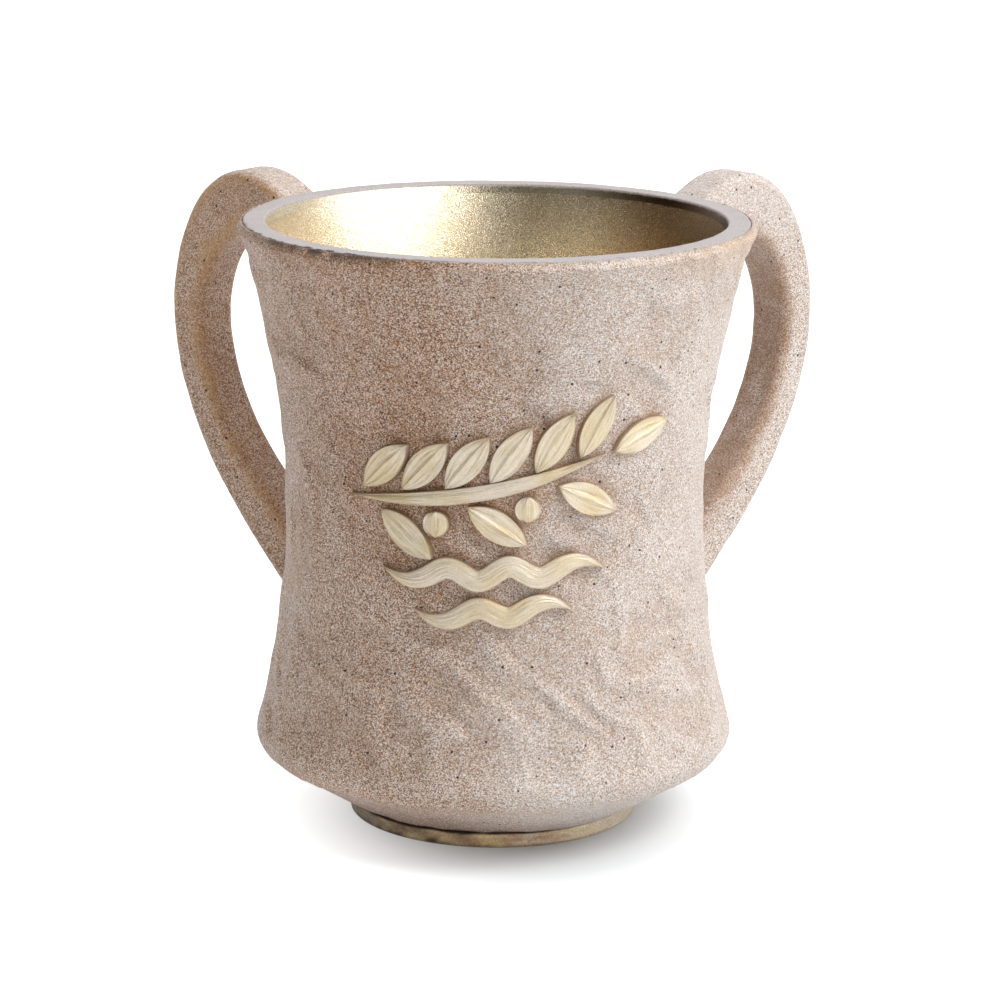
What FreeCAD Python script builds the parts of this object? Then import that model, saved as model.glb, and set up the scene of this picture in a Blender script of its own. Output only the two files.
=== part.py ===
import FreeCAD, Part
import os
import re

import Sketcher

# A two-handled ritual washing cup: a heavy stone-effect cast body, a gilt bowl inside it,
# a smooth pale ring round the mouth, a gilt plinth below, two handles that lean back from
# the front, and a gilt relief of a leafy branch over two waves of water.
# Millimetres. +Z is up, the front is -Y, and the origin is the centre of the resting face.

SIZES = {
    # the outer wall, which flares from its waist up to the neck and down to the belly
    "rim_height": 130.0,
    "neck_drop": 3.5,
    "neck_flare": 9.5,
    "waist_height": 68.0,
    "waist_radius": 45.1,
    "belly_height": 16.5,
    "belly_flare": 7.3,
    "belly_round": 5.0,
    "underside_arc_radius": 180.0,
    # the bevelled stone lip that stands round the mouth ring
    "lip_flare": 1.0,
    "lip_drop": 1.7,
    "lip_round": 0.8,
    "lip_land": 0.3,
    "lip_land_drop": 0.2,
    # the mouth ring, let into a rebate on top of the body and over the bowl's edge
    "ring_inset": 0.6,
    "ring_width": 5.5,
    "ring_thickness": 2.0,
    "ring_clearance": 0.1,
    "ring_round": 0.4,
    "ring_lap": 0.6,
    # the thin bowl: straight below the waist, flared above it, round at the bottom
    "cast_wall": 4.15,
    "bowl_wall": 1.4,
    "bowl_clearance": 0.15,
    "bowl_floor_height": 12.0,
    "bowl_floor_round": 12.0,
    # the plinth, with a low spigot that centres it in the body
    "foot_radius": 31.25,
    "foot_height": 3.2,
    "foot_round": 0.6,
    "foot_overhang": 0.35,
    "foot_spigot_radius": 20.0,
    "foot_spigot_height": 2.0,
    # the handles, measured in the upright plane that holds the cup's axis
    "handle_stand": 45.9,
    "handle_width": 12.2,
    "handle_round": 2.4,
    "handle_splay": 40.0,
    "handle_spigot_radius": 2.2,
    "handle_spigot_depth": 2.6,
    "handle_spigot_root": 3.0,
    "spigot_clearance": 0.1,
    # the relief: how far it stands off the wall, its turn to the left, and its stem
    "relief_height": 1.8,
    "relief_turn": 6.0,
    "stem_over_waist": 12.4,
    "stem_rise": 5.0,
    "stem_lift": 3.0,
    "stem_width": 3.2,
    "stem_half_angle": 35.5,
    # the leaves, two pointed arcs each, and the round olives
    "leaf_length": 14.5,
    "leaf_width": 6.2,
    "leaf_gap": 2.2,
    "leaf_spread": 43.0,
    "olive_radius": 2.7,
    "olive_drop": 5.2,
    # the two ribbons of water under the branch
    "wave_pitch": 13.0,
    "wave_crest": 1.6,
    "wave_width": 4.4,
    "wave_turn": 5.0,
    "upper_wave_under_waist": 4.0,
    "lower_wave_under_waist": 12.2,
}

# Heights of the handle's two spigots as shares of the rim's height.
UPPER_SPIGOT_SHARE = 0.9423
LOWER_SPIGOT_SHARE = 0.2962

# Sizes that follow from others.
DERIVED_SIZES = {
    "neck_height": "(rim_height - neck_drop)",
    "neck_radius": "(waist_radius + neck_flare)",
    "belly_radius": "(waist_radius + belly_flare)",
    "lip_radius": "(neck_radius + lip_flare)",
    "ring_radius": "(neck_radius - ring_inset)",
    "bowl_radius": "(waist_radius - cast_wall - bowl_clearance - bowl_wall)",
    "bowl_mouth_radius": "(ring_radius - ring_width + ring_lap)",
    "handle_spigot_upper_height": "(%g * rim_height)" % UPPER_SPIGOT_SHARE,
    "handle_spigot_lower_height": "(%g * rim_height)" % LOWER_SPIGOT_SHARE,
    "stem_height": "(waist_height + stem_over_waist)",
    "wave_upper_height": "(waist_height - upper_wave_under_waist)",
    "wave_lower_height": "(waist_height - lower_wave_under_waist)",
}

# Control points of the handle's side view: how far out from the waist's radius, as a share
# of the handle's stand, and how high, as a share of the rim's height.
HANDLE_OUTER_SHARES = (
    (0.09, 0.915), (0.22, 1.017), (0.72, 1.080), (1.09, 0.813),
    (0.88, 0.554), (0.45, 0.372), (0.09, 0.252), (-0.07, 0.195),
)
HANDLE_INNER_SHARES = (
    (-0.07, 0.326), (0.06, 0.365), (0.32, 0.456), (0.68, 0.579),
    (0.87, 0.778), (0.61, 0.956), (0.15, 0.919), (0.04, 0.871),
)

# Places along the stem, from -1 at the root to 1 at the tip, as shares of its half length.
UPPER_LEAF_SHARES = (-0.85, -0.53, -0.21, 0.11, 0.43, 0.75)
LOWER_LEAF_SHARES = (-0.70, -0.05, 0.60)
OLIVE_SHARES = (-0.28, 0.38)
TIP_LEAF_SHARE = 1.02
STEM_STATION_SHARES = (-1.0, -0.5, 0.0, 0.5, 1.0)

# How many half waves each ribbon of water has.
UPPER_HALF_WAVES = 7
LOWER_HALF_WAVES = 5

EDGE_TOLERANCE_SHARE = 1e-6
SPLINE_DEGREE = 3

doc = FreeCAD.newDocument("washing_cup")
sheet = doc.addObject("Spreadsheet::Sheet", "Sizes")
for row, (alias, size) in enumerate(SIZES.items(), 1):
    sheet.set("A%d" % row, alias)
    sheet.set("B%d" % row, str(size))
    sheet.setAlias("B%d" % row, alias)
doc.recompute()



def name_pattern(names):
    """What finds any of these names as a whole word."""
    return re.compile(r"\b(%s)\b" % "|".join(sorted(names, key=len, reverse=True)))


SIZE_PATTERN = name_pattern(SIZES)
DERIVED_PATTERN = name_pattern(DERIVED_SIZES)


def spelled_out(text):
    """The expression with each derived size written in the sizes that it follows from."""
    while DERIVED_PATTERN.search(text):
        text = DERIVED_PATTERN.sub(lambda found: DERIVED_SIZES[found.group()], text)
    return text


def bound(text):
    """The expression with each size's name turned into its cell."""
    return SIZE_PATTERN.sub(r"Sizes.\1", spelled_out(text))


def number(text):
    """The present value of an expression."""
    return float(sheet.evalExpression(spelled_out(text)))


def bind(thing, **expressions):
    """Bind properties to expressions; two underscores stand for a dot in a path."""
    for name, text in expressions.items():
        thing.setExpression(name.replace("__", "."), bound(text))


class Outline:
    """A closed sketch, drawn end to end, whose points and radii are bound to the sheet."""

    def __init__(self, body, name, x, y):
        self.sketch = body.newObject("Sketcher::SketchObject", name)
        plane = [item for item in body.Origin.OriginFeatures if item.Role == "XZ_Plane"]
        self.sketch.AttachmentSupport = [(plane[0], "")]
        self.sketch.MapMode = "FlatFace"
        self.begin = (x, y)
        self.here = (x, y)
        self.first_end = None
        self.last_end = None

    @staticmethod
    def vector(point):
        return FreeCAD.Vector(number(point[0]), number(point[1]), 0)

    def constrain(self, *terms):
        return self.sketch.addConstraint(Sketcher.Constraint(*terms))

    def bind_point(self, curve, end, point):
        """Fix one point of a curve, on an axis where its coordinate is zero."""
        for kind, axis, text in (("DistanceX", -2, point[0]), ("DistanceY", -1, point[1])):
            if text == "0":
                self.constrain("PointOnObject", curve, end, axis)
                continue
            index = self.constrain(kind, -1, 1, curve, end, number(text))
            self.sketch.setExpression("Constraints[%d]" % index, bound(text))

    def join(self, curve, start_end, finish_end, point):
        """Tie a new curve to the one before it, and to the first where it closes."""
        if self.last_end is None:
            self.first_end = (curve, start_end)
            self.bind_point(curve, start_end, self.begin)
        else:
            self.constrain("Coincident", *self.last_end, curve, start_end)
        if point == self.begin:
            self.constrain("Coincident", curve, finish_end, *self.first_end)
        else:
            self.bind_point(curve, finish_end, point)
        self.last_end = (curve, finish_end)
        self.here = point

    def line(self, x, y):
        ends = [self.vector(self.here), self.vector((x, y))]
        curve = self.sketch.addGeometry(Part.LineSegment(*ends), False)
        self.join(curve, 1, 2, (x, y))

    def arc(self, x, y, radius, left):
        """An arc of under half a circle that turns left or right."""
        start = self.vector(self.here)
        finish = self.vector((x, y))
        size = number(radius)
        half = (finish - start) / 2
        square = FreeCAD.Vector(-half.y, half.x, 0).normalize()
        rise = (size ** 2 - half.Length ** 2) ** 0.5
        centre = start + half + square * (rise if left else -rise)
        circle = Part.Circle(centre, FreeCAD.Vector(0, 0, 1), size)
        ends = [circle.parameter(start), circle.parameter(finish)]
        if not left:
            ends.reverse()
        curve = self.sketch.addGeometry(Part.ArcOfCircle(circle, *ends), False)
        self.join(curve, 1 if left else 2, 2 if left else 1, (x, y))
        index = self.constrain("Radius", curve, size)
        self.sketch.setExpression("Constraints[%d]" % index, bound(radius))

    def spline(self, points):
        """A smooth curve on control points, the last of which is its end."""
        poles = [self.here] + list(points)
        spans = len(poles) - SPLINE_DEGREE
        knots = [index / spans for index in range(spans + 1)]
        repeats = [SPLINE_DEGREE + 1] + [1] * (spans - 1) + [SPLINE_DEGREE + 1]
        shape = Part.BSplineCurve()
        shape.buildFromPolesMultsKnots(
            [self.vector(pole) for pole in poles], repeats, knots, False, SPLINE_DEGREE
        )
        curve = self.sketch.addGeometry(shape, False)
        self.sketch.exposeInternalGeometry(curve)
        for index, pole in enumerate(poles[1:-1], curve + 2):
            self.bind_point(index, 3, pole)
        self.join(curve, 1, 2, poles[-1])

    def close(self, radius=None, left=True):
        """Go back to the first point by a line, or by an arc where a radius is given."""
        if radius is None:
            self.line(*self.begin)
        else:
            self.arc(*self.begin, radius, left)


def wall_arc_radius(end_radius, end_height, waist):
    """Radius of the arc that is upright at the waist and ends at the given point."""
    reach = "(%s - (%s))" % (end_radius, waist)
    rise = "(%s - waist_height)" % end_height
    return "((%s^2 + %s^2) / (2 * %s))" % (reach, rise, reach)


def wall_radius_at(height, end_radius, end_height):
    """Radius of the outer wall at a height on the arc that ends at the given point."""
    arc = wall_arc_radius(end_radius, end_height, "waist_radius")
    return "(waist_radius + %s - sqrt(%s^2 - (%s - waist_height)^2))" % (arc, arc, height)


def upper_wall_radius_at(height):
    return wall_radius_at(height, "neck_radius", "neck_height")


def lower_wall_radius_at(height):
    return wall_radius_at(height, "belly_radius", "belly_height")


def turned(name, outline):
    """Revolve an outline round the cup's axis."""
    body = outline.sketch.getParentGeoFeatureGroup()
    turn = body.newObject("PartDesign::Revolution", name)
    turn.Profile = outline.sketch
    turn.ReferenceAxis = (outline.sketch, ["V_Axis"])
    turn.Angle = 360
    doc.recompute()
    return turn


def rounded(name, feature, radius, places):
    """Round the circular edges that have the given radii and heights."""
    chosen = []
    tolerance = number("rim_height") * EDGE_TOLERANCE_SHARE
    wanted = [(number(place[0]), number(place[1])) for place in places]
    for index, edge in enumerate(feature.Shape.Edges, 1):
        if not isinstance(edge.Curve, Part.Circle):
            continue
        for size, height in wanted:
            near = abs(edge.Curve.Radius - size) < tolerance
            if near and abs(edge.Curve.Center.z - height) < tolerance:
                chosen.append("Edge%d" % index)
    body = feature.getParentGeoFeatureGroup()
    fillet = body.newObject("PartDesign::Fillet", name)
    fillet.Base = (feature, chosen)
    bind(fillet, Radius=radius)
    doc.recompute()
    return fillet


def draw_cast_outside(outline):
    """The underside, wall and bevelled lip, from beside the plinth up to the mouth."""
    outline.arc("belly_radius", "belly_height", "underside_arc_radius", True)
    lower = wall_arc_radius("belly_radius", "belly_height", "waist_radius")
    upper = wall_arc_radius("neck_radius", "neck_height", "waist_radius")
    outline.arc("waist_radius", "waist_height", lower, False)
    outline.arc("neck_radius", "neck_height", upper, False)
    outline.line("lip_radius", "rim_height - lip_drop")
    outline.line("ring_radius + ring_clearance + lip_land", "rim_height - lip_land_drop")


def make_cast_envelope():
    """The body's outside as a full solid, which gives the handles their seats."""
    body = doc.addObject("PartDesign::Body", "CastEnvelope")
    outline = Outline(body, "EnvelopeOutline", "0", "foot_height")
    outline.line("foot_radius + foot_overhang", "foot_height")
    draw_cast_outside(outline)
    outline.line("0", "rim_height - lip_land_drop")
    outline.close()
    turned("EnvelopeTurn", outline)
    return body


def make_relief_band():
    """A skin over the outer wall as thick as the relief is high."""
    body = doc.addObject("PartDesign::Body", "ReliefBand")
    lower = wall_arc_radius("belly_radius", "belly_height", "waist_radius")
    upper = wall_arc_radius("neck_radius", "neck_height", "waist_radius")
    outline = Outline(body, "BandOutline", "belly_radius", "belly_height")
    outline.line("belly_radius + relief_height", "belly_height")
    outline.arc("waist_radius + relief_height", "waist_height", lower, False)
    outline.arc("neck_radius + relief_height", "neck_height", upper, False)
    outline.line("neck_radius", "neck_height")
    outline.arc("waist_radius", "waist_height", upper, True)
    outline.close(lower, True)
    turned("BandTurn", outline)
    return body


def draw_bowl_outside(outline, clearance):
    """The bowl's outer face with a clearance round it, from its mouth down to the axis."""
    wall = "bowl_wall + %s" % clearance
    mouth = "bowl_mouth_radius + %s" % wall
    side = "bowl_radius + %s" % wall
    flare = wall_arc_radius("(%s)" % mouth, "(rim_height - ring_thickness)", side)
    outline.line(mouth, "rim_height - ring_thickness")
    outline.arc(side, "waist_height", flare, True)
    outline.line(side, "bowl_floor_height + bowl_floor_round")
    outline.arc(
        "bowl_radius - bowl_floor_round",
        "bowl_floor_height - (%s)" % wall,
        "bowl_floor_round + %s" % wall,
        False,
    )
    outline.line("0", "bowl_floor_height - (%s)" % wall)


def make_body_shell():
    """The cast body with its cavity, mouth rebate and the socket for the plinth."""
    body = doc.addObject("PartDesign::Body", "BodyCasting")
    socket_height = "foot_height + foot_spigot_height + spigot_clearance"
    socket_radius = "foot_spigot_radius + spigot_clearance"
    outline = Outline(body, "BodyOutline", "0", socket_height)
    outline.line(socket_radius, socket_height)
    outline.line(socket_radius, "foot_height")
    outline.line("foot_radius + foot_overhang", "foot_height")
    draw_cast_outside(outline)
    outline.line("ring_radius + ring_clearance", "rim_height - lip_land_drop")
    outline.line("ring_radius + ring_clearance", "rim_height - ring_thickness")
    draw_bowl_outside(outline, "bowl_clearance")
    outline.close()
    turn = turned("BodyTurn", outline)
    belly = rounded("BellyRound", turn, "belly_round", [("belly_radius", "belly_height")])
    lip = [("lip_radius", "rim_height - lip_drop")]
    rounded("LipRound", belly, "lip_round", lip)
    return body


def make_bowl():
    """The thin gilt bowl that lines the body."""
    body = doc.addObject("PartDesign::Body", "BowlBody")
    top = "rim_height - ring_thickness"
    flare = wall_arc_radius("bowl_mouth_radius", "(%s)" % top, "bowl_radius")
    outline = Outline(body, "BowlOutline", "0", "bowl_floor_height")
    outline.line("bowl_radius - bowl_floor_round", "bowl_floor_height")
    outline.arc("bowl_radius", "bowl_floor_height + bowl_floor_round", "bowl_floor_round", True)
    outline.line("bowl_radius", "waist_height")
    outline.arc("bowl_mouth_radius", top, flare, False)
    draw_bowl_outside(outline, "0")
    outline.close()
    turned("BowlTurn", outline)
    body.Label = "bowl_liner"
    return body


def make_rim_ring():
    """The smooth flat ring let into the mouth."""
    body = doc.addObject("PartDesign::Body", "RingBody")
    inside = "ring_radius - ring_width"
    bottom = "rim_height - ring_thickness"
    outline = Outline(body, "RingOutline", inside, bottom)
    outline.line("ring_radius", bottom)
    outline.line("ring_radius", "rim_height")
    outline.line(inside, "rim_height")
    outline.close()
    turn = turned("RingTurn", outline)
    edges = [("ring_radius", "rim_height"), (inside, "rim_height")]
    rounded("RingRound", turn, "ring_round", edges)
    body.Label = "rim_ring"
    return body


def make_foot_plinth():
    """The gilt plinth with its centring spigot."""
    body = doc.addObject("PartDesign::Body", "PlinthBody")
    outline = Outline(body, "PlinthOutline", "0", "0")
    outline.line("foot_radius", "0")
    outline.line("foot_radius", "foot_height")
    outline.line("foot_spigot_radius", "foot_height")
    outline.line("foot_spigot_radius", "foot_height + foot_spigot_height")
    outline.line("0", "foot_height + foot_spigot_height")
    outline.close()
    turn = turned("PlinthTurn", outline)
    rounded("PlinthRound", turn, "foot_round", [("foot_radius", "0")])
    body.Label = "foot_plinth"
    return body


def handle_point(shares):
    """A control point of the handle's side view from its two shares."""
    across = "waist_radius + %g * handle_stand" % shares[0]
    return across, "%g * rim_height" % shares[1]


def make_handle_blank():
    """The handle cut from a board along its side view, with all its long edges rounded."""
    body = doc.addObject("PartDesign::Body", "HandleBlank")
    outer = [handle_point(shares) for shares in HANDLE_OUTER_SHARES]
    inner = [handle_point(shares) for shares in HANDLE_INNER_SHARES]
    outline = Outline(body, "HandleOutline", *outer[0])
    outline.spline(outer[1:])
    outline.line(*inner[0])
    outline.spline(inner[1:])
    outline.close()
    board = body.newObject("PartDesign::Pad", "HandleBoard")
    board.Profile = outline.sketch
    board.SideType = "Symmetric"
    bind(board, Length="handle_width")
    doc.recompute()
    long_edges = [
        "Edge%d" % index
        for index, edge in enumerate(board.Shape.Edges, 1)
        if isinstance(edge.Curve, Part.BSplineCurve)
    ]
    fillet = body.newObject("PartDesign::Fillet", "HandleRound")
    fillet.Base = (board, long_edges)
    bind(fillet, Radius="handle_round")
    doc.recompute()
    return body


def make_radial_pins(name, radius, clearance):
    """Two pins across the wall where a handle ends: its spigots, or what cuts their holes."""
    pins = []
    upper = "handle_spigot_upper_height"
    lower = "handle_spigot_lower_height"
    places = ((upper, upper_wall_radius_at(upper)), (lower, lower_wall_radius_at(lower)))
    for index, (height, wall) in enumerate(places, 1):
        pin = doc.addObject("Part::Cylinder", "%s%d" % (name, index))
        pin.Placement.Rotation = FreeCAD.Rotation(FreeCAD.Vector(0, 1, 0), 90)
        bind(
            pin,
            Radius="%s + %s" % (radius, clearance),
            Height="handle_spigot_depth + handle_spigot_root + %s" % clearance,
            Placement__Base__x="%s - handle_spigot_depth - %s" % (wall, clearance),
            Placement__Base__z=height,
        )
        pins.append(pin)
    return pins


def turn_about_axis(thing, angle):
    """Turn a finished piece about the cup's axis by a bound angle."""
    thing.Placement.Rotation = FreeCAD.Rotation(FreeCAD.Vector(0, 0, 1), number(angle))
    bind(thing, Placement__Rotation__Angle=angle)


def turned_copy(name, thing, angle):
    """The same form again, turned about the cup's axis."""
    copy = doc.addObject("Part::Compound", name)
    copy.Links = [thing]
    turn_about_axis(copy, angle)
    return copy


def make_handle_form(envelope):
    """A handle in the plane of its side view, fitted to the wall, with its spigots."""
    fitted = doc.addObject("Part::Cut", "HandleFitted")
    fitted.Base = make_handle_blank()
    fitted.Tool = envelope
    form = doc.addObject("Part::MultiFuse", "HandleForm")
    form.Shapes = [fitted] + make_radial_pins("Spigot", "handle_spigot_radius", "0")
    return form


def make_socket_form():
    """What cuts the two blind holes that take a handle's spigots."""
    form = doc.addObject("Part::Compound", "SocketForm")
    form.Links = make_radial_pins("Socket", "handle_spigot_radius", "spigot_clearance")
    return form


def stem_height_at(share):
    """Height of the stem's middle line at a share of its half length."""
    return "(stem_height + %g * stem_rise + %g * stem_lift)" % (share, share ** 2)


def stem_slope_at(share):
    """The stem's slope there in degrees."""
    half_length = "(waist_radius * stem_half_angle * pi / 180)"
    rise = "(stem_rise + %g * stem_lift)" % (2 * share)
    return "(atan(%s / %s) / 1deg)" % (rise, half_length)


def turn_along_stem(share):
    """How far round the cup a piece stands that springs from the stem at a share."""
    return "%g * stem_half_angle - relief_turn" % share


def applied_relief(label, blank, band, angle):
    """Cut a blank to the band on the wall and turn it to its place."""
    piece = doc.addObject("Part::Common", "Relief_%s" % label)
    piece.Base = blank
    piece.Tool = band
    turn_about_axis(piece, angle)
    piece.Label = label
    return piece


def relief_board(name, outline):
    """Push an outline through the wall in front."""
    body = outline.sketch.getParentGeoFeatureGroup()
    board = body.newObject("PartDesign::Pad", name)
    board.Profile = outline.sketch
    board.SideType = "Symmetric"
    bind(board, Length="waist_radius")
    bind(body, Placement__Base__y="-waist_radius")
    return body


def make_leaf(label, band, share, side):
    """A pointed leaf that springs from the stem, above it or below it, or at its tip."""
    body = doc.addObject("PartDesign::Body", "Blank_%s" % label)
    edge = "((leaf_length^2 + leaf_width^2) / (4 * leaf_width))"
    outline = Outline(body, "Outline_%s" % label, "0", "0")
    outline.arc("0", "leaf_length", edge, False)
    outline.close(edge, False)
    relief_board("Board_%s" % label, outline)
    lean = "90 - %s - (%g * leaf_spread)" % (stem_slope_at(share), side)
    height = "%s + (%g * leaf_gap)" % (stem_height_at(share), side)
    body.Placement.Rotation = FreeCAD.Rotation(FreeCAD.Vector(0, 1, 0), number(lean))
    bind(body, Placement__Rotation__Angle=lean, Placement__Base__z=height)
    return applied_relief(label, body, band, turn_along_stem(share))


def make_stem(label, band):
    """The branch's stem, pointed at both ends."""
    body = doc.addObject("PartDesign::Body", "Blank_%s" % label)
    inner_stations = STEM_STATION_SHARES[1:-1]
    places = {}
    for share in STEM_STATION_SHARES:
        across = "waist_radius * sin(%g * stem_half_angle)" % share
        places[share] = (across, stem_height_at(share))
    root = places[STEM_STATION_SHARES[0]]
    tip = places[STEM_STATION_SHARES[-1]]
    under = [(places[s][0], places[s][1] + " - stem_width / 2") for s in inner_stations]
    over = [(places[s][0], places[s][1] + " + stem_width / 2") for s in inner_stations]
    outline = Outline(body, "Outline_%s" % label, *root)
    outline.spline(under + [tip])
    outline.spline(over[::-1] + [root])
    relief_board("Board_%s" % label, outline)
    return applied_relief(label, body, band, turn_along_stem(0))


def make_olive(label, band, share):
    """A round olive that hangs under the stem."""
    blank = doc.addObject("Part::Cylinder", "Blank_%s" % label)
    blank.Placement.Rotation = FreeCAD.Rotation(FreeCAD.Vector(1, 0, 0), 90)
    bind(
        blank,
        Radius="olive_radius",
        Height="waist_radius",
        Placement__Base__y="-waist_radius / 2",
        Placement__Base__z="%s - olive_drop" % stem_height_at(share),
    )
    return applied_relief(label, blank, band, turn_along_stem(share))


def make_wave(label, band, height, half_waves):
    """A ribbon of water, pointed at both ends, whose edges are smooth waves."""
    body = doc.addObject("PartDesign::Body", "Blank_%s" % label)
    # Control points on alternate sides draw a smooth wave a third as high as they stand.
    control_share = 3
    under = []
    over = []
    for index in range(1, half_waves):
        across = "%g * wave_pitch" % ((index - half_waves / 2) / 2)
        middle = "%s + %g * wave_crest" % (height, control_share * (-1) ** index)
        under.append((across, middle + " - wave_width / 2"))
        over.append((across, middle + " + wave_width / 2"))
    left = ("%g * wave_pitch" % (-half_waves / 4), height)
    right = ("%g * wave_pitch" % (half_waves / 4), height)
    outline = Outline(body, "Outline_%s" % label, *left)
    outline.spline(under + [right])
    outline.spline(over[::-1] + [left])
    relief_board("Board_%s" % label, outline)
    return applied_relief(label, body, band, "wave_turn - relief_turn")


def make_relief(band):
    """The whole ornament: the stem, its leaves and olives, and the water under them."""
    leaf_places = [(share, 1) for share in UPPER_LEAF_SHARES]
    leaf_places += [(share, -1) for share in LOWER_LEAF_SHARES]
    leaf_places.append((TIP_LEAF_SHARE, 0))
    pieces = [make_stem("relief_stem", band)]
    for index, (share, side) in enumerate(leaf_places, 1):
        pieces.append(make_leaf("relief_leaf_%02d" % index, band, share, side))
    for index, share in enumerate(OLIVE_SHARES, 1):
        pieces.append(make_olive("relief_olive_%02d" % index, band, share))
    upper = ("relief_wave_upper", band, "wave_upper_height", UPPER_HALF_WAVES)
    lower = ("relief_wave_lower", band, "wave_lower_height", LOWER_HALF_WAVES)
    return pieces + [make_wave(*upper), make_wave(*lower)]


def make_cup():
    """Every piece of the cup, in the order of assembly."""
    splay = {"left": "180 - handle_splay", "right": "handle_splay"}
    socket_form = make_socket_form()
    sockets = doc.addObject("Part::Compound", "Sockets")
    sockets.Links = [
        turned_copy("Sockets_%s" % side, socket_form, angle) for side, angle in splay.items()
    ]
    shell = doc.addObject("Part::Cut", "BodyShell")
    shell.Base = make_body_shell()
    shell.Tool = sockets
    shell.Label = "body_shell"
    handle_form = make_handle_form(make_cast_envelope())
    handles = []
    for side, angle in splay.items():
        handle = turned_copy("Handle_%s" % side, handle_form, angle)
        handle.Label = "%s_handle" % side
        handles.append(handle)
    vessel = [shell, make_bowl(), make_rim_ring(), make_foot_plinth()]
    return vessel + handles + make_relief(make_relief_band())


def check(pieces):
    """Stop unless every object recomputed and every piece is sound."""
    for thing in doc.Objects:
        if "Invalid" in thing.State or "Error" in thing.State:
            raise RuntimeError("%s failed to build: %s" % (thing.Name, thing.State))
    for piece in pieces:
        if piece.Shape.isNull() or not piece.Shape.isValid():
            raise RuntimeError("%s has no sound shape" % piece.Label)
        if len(piece.Shape.Solids) != 1:
            raise RuntimeError("%s has %d solids" % (piece.Label, len(piece.Shape.Solids)))


def write(pieces):
    """Write each piece to its own file."""
    os.makedirs("parts", exist_ok=True)
    for piece in pieces:
        piece.Shape.exportStep("parts/%s.step" % piece.Label)
        box = piece.Shape.BoundBox
        print(
            "%-20s volume %9.1f  x %6.1f..%6.1f  y %6.1f..%6.1f  z %6.1f..%6.1f"
            % (piece.Label, piece.Shape.Volume, box.XMin, box.XMax, box.YMin, box.YMax,
               box.ZMin, box.ZMax)
        )


cup = make_cup()
doc.recompute()
check(cup)
write(cup)
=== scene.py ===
"""A two-handled ritual washing cup: stone-effect casting, pale mouth ring, gilt bowl, foot
and relief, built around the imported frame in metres. +Z is up and the front is -Y."""
import logging
import math
from dataclasses import dataclass, field
from enum import Enum, IntEnum
from itertools import product

import bpy
import numpy as np
from mathutils import Matrix


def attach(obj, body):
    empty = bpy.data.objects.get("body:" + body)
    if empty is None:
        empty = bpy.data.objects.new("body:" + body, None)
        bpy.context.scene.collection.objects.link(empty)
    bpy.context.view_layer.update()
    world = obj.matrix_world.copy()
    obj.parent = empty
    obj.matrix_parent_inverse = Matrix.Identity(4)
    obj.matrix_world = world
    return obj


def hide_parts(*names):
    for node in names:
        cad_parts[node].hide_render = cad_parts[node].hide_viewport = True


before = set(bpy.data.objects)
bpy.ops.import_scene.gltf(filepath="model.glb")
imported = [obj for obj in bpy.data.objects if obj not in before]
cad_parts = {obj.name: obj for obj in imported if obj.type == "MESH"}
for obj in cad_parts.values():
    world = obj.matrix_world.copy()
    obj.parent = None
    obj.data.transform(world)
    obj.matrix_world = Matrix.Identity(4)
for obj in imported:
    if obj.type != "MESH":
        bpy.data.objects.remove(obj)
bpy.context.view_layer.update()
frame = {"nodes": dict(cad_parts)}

log = logging.getLogger("washing_cup")

MM = 0.001
BODY = "root"
FULL_TURN = 2 * math.pi
QUARTER_TURN = math.pi / 2
STROKE_MAP = "stroke"

Colour = tuple[float, float, float, float]
Stops = tuple[tuple[float, Colour], ...]


class Slot(Enum):
    """The record's material slots."""

    STONE = "stone_resin"
    RING = "pale_resin"
    BOWL = "bowl_gilt"
    FOOT = "antique_gilt"
    RELIEF = "relief_gilt"


class Seed(IntEnum):
    """What fixes each pattern of noise, so that every run gives the same cup."""

    STROKE_DRIFT = 3
    STROKES = 5
    FINE_STROKES = 6
    STROKE_PATCHES = 7
    SWELL = 11
    DENTS = 13
    SEAM = 17
    STAIN = 19
    CLOUDS = 23
    HANDLE_SWELL = 29
    HANDLE_STAIN = 31
    RING_EDGE = 37
    RELIEF_WEAR = 41
    RING_CHIPS = 43
    RING_DIP = 47
    BOWL_SAG = 53
    FOOT_WEAR = 59
    BRUSH = 61
    NECK = 71


def linear(red: float, green: float, blue: float) -> Colour:
    """Turn a colour written in 0 to 255 steps into a linear colour.

    Args:
        red: The red step.
        green: The green step.
        blue: The blue step.

    Returns:
        Linear red, green and blue, and an alpha of one. Each step c, as a share of 255, is
        ((c + 0.055) / 1.055) to the power 2.4.
    """
    steps = np.array([red, green, blue]) / 255
    return (*(((steps + 0.055) / 1.055) ** 2.4).tolist(), 1.0)


WHITE = linear(255, 255, 255)


# Noise and curves


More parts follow.
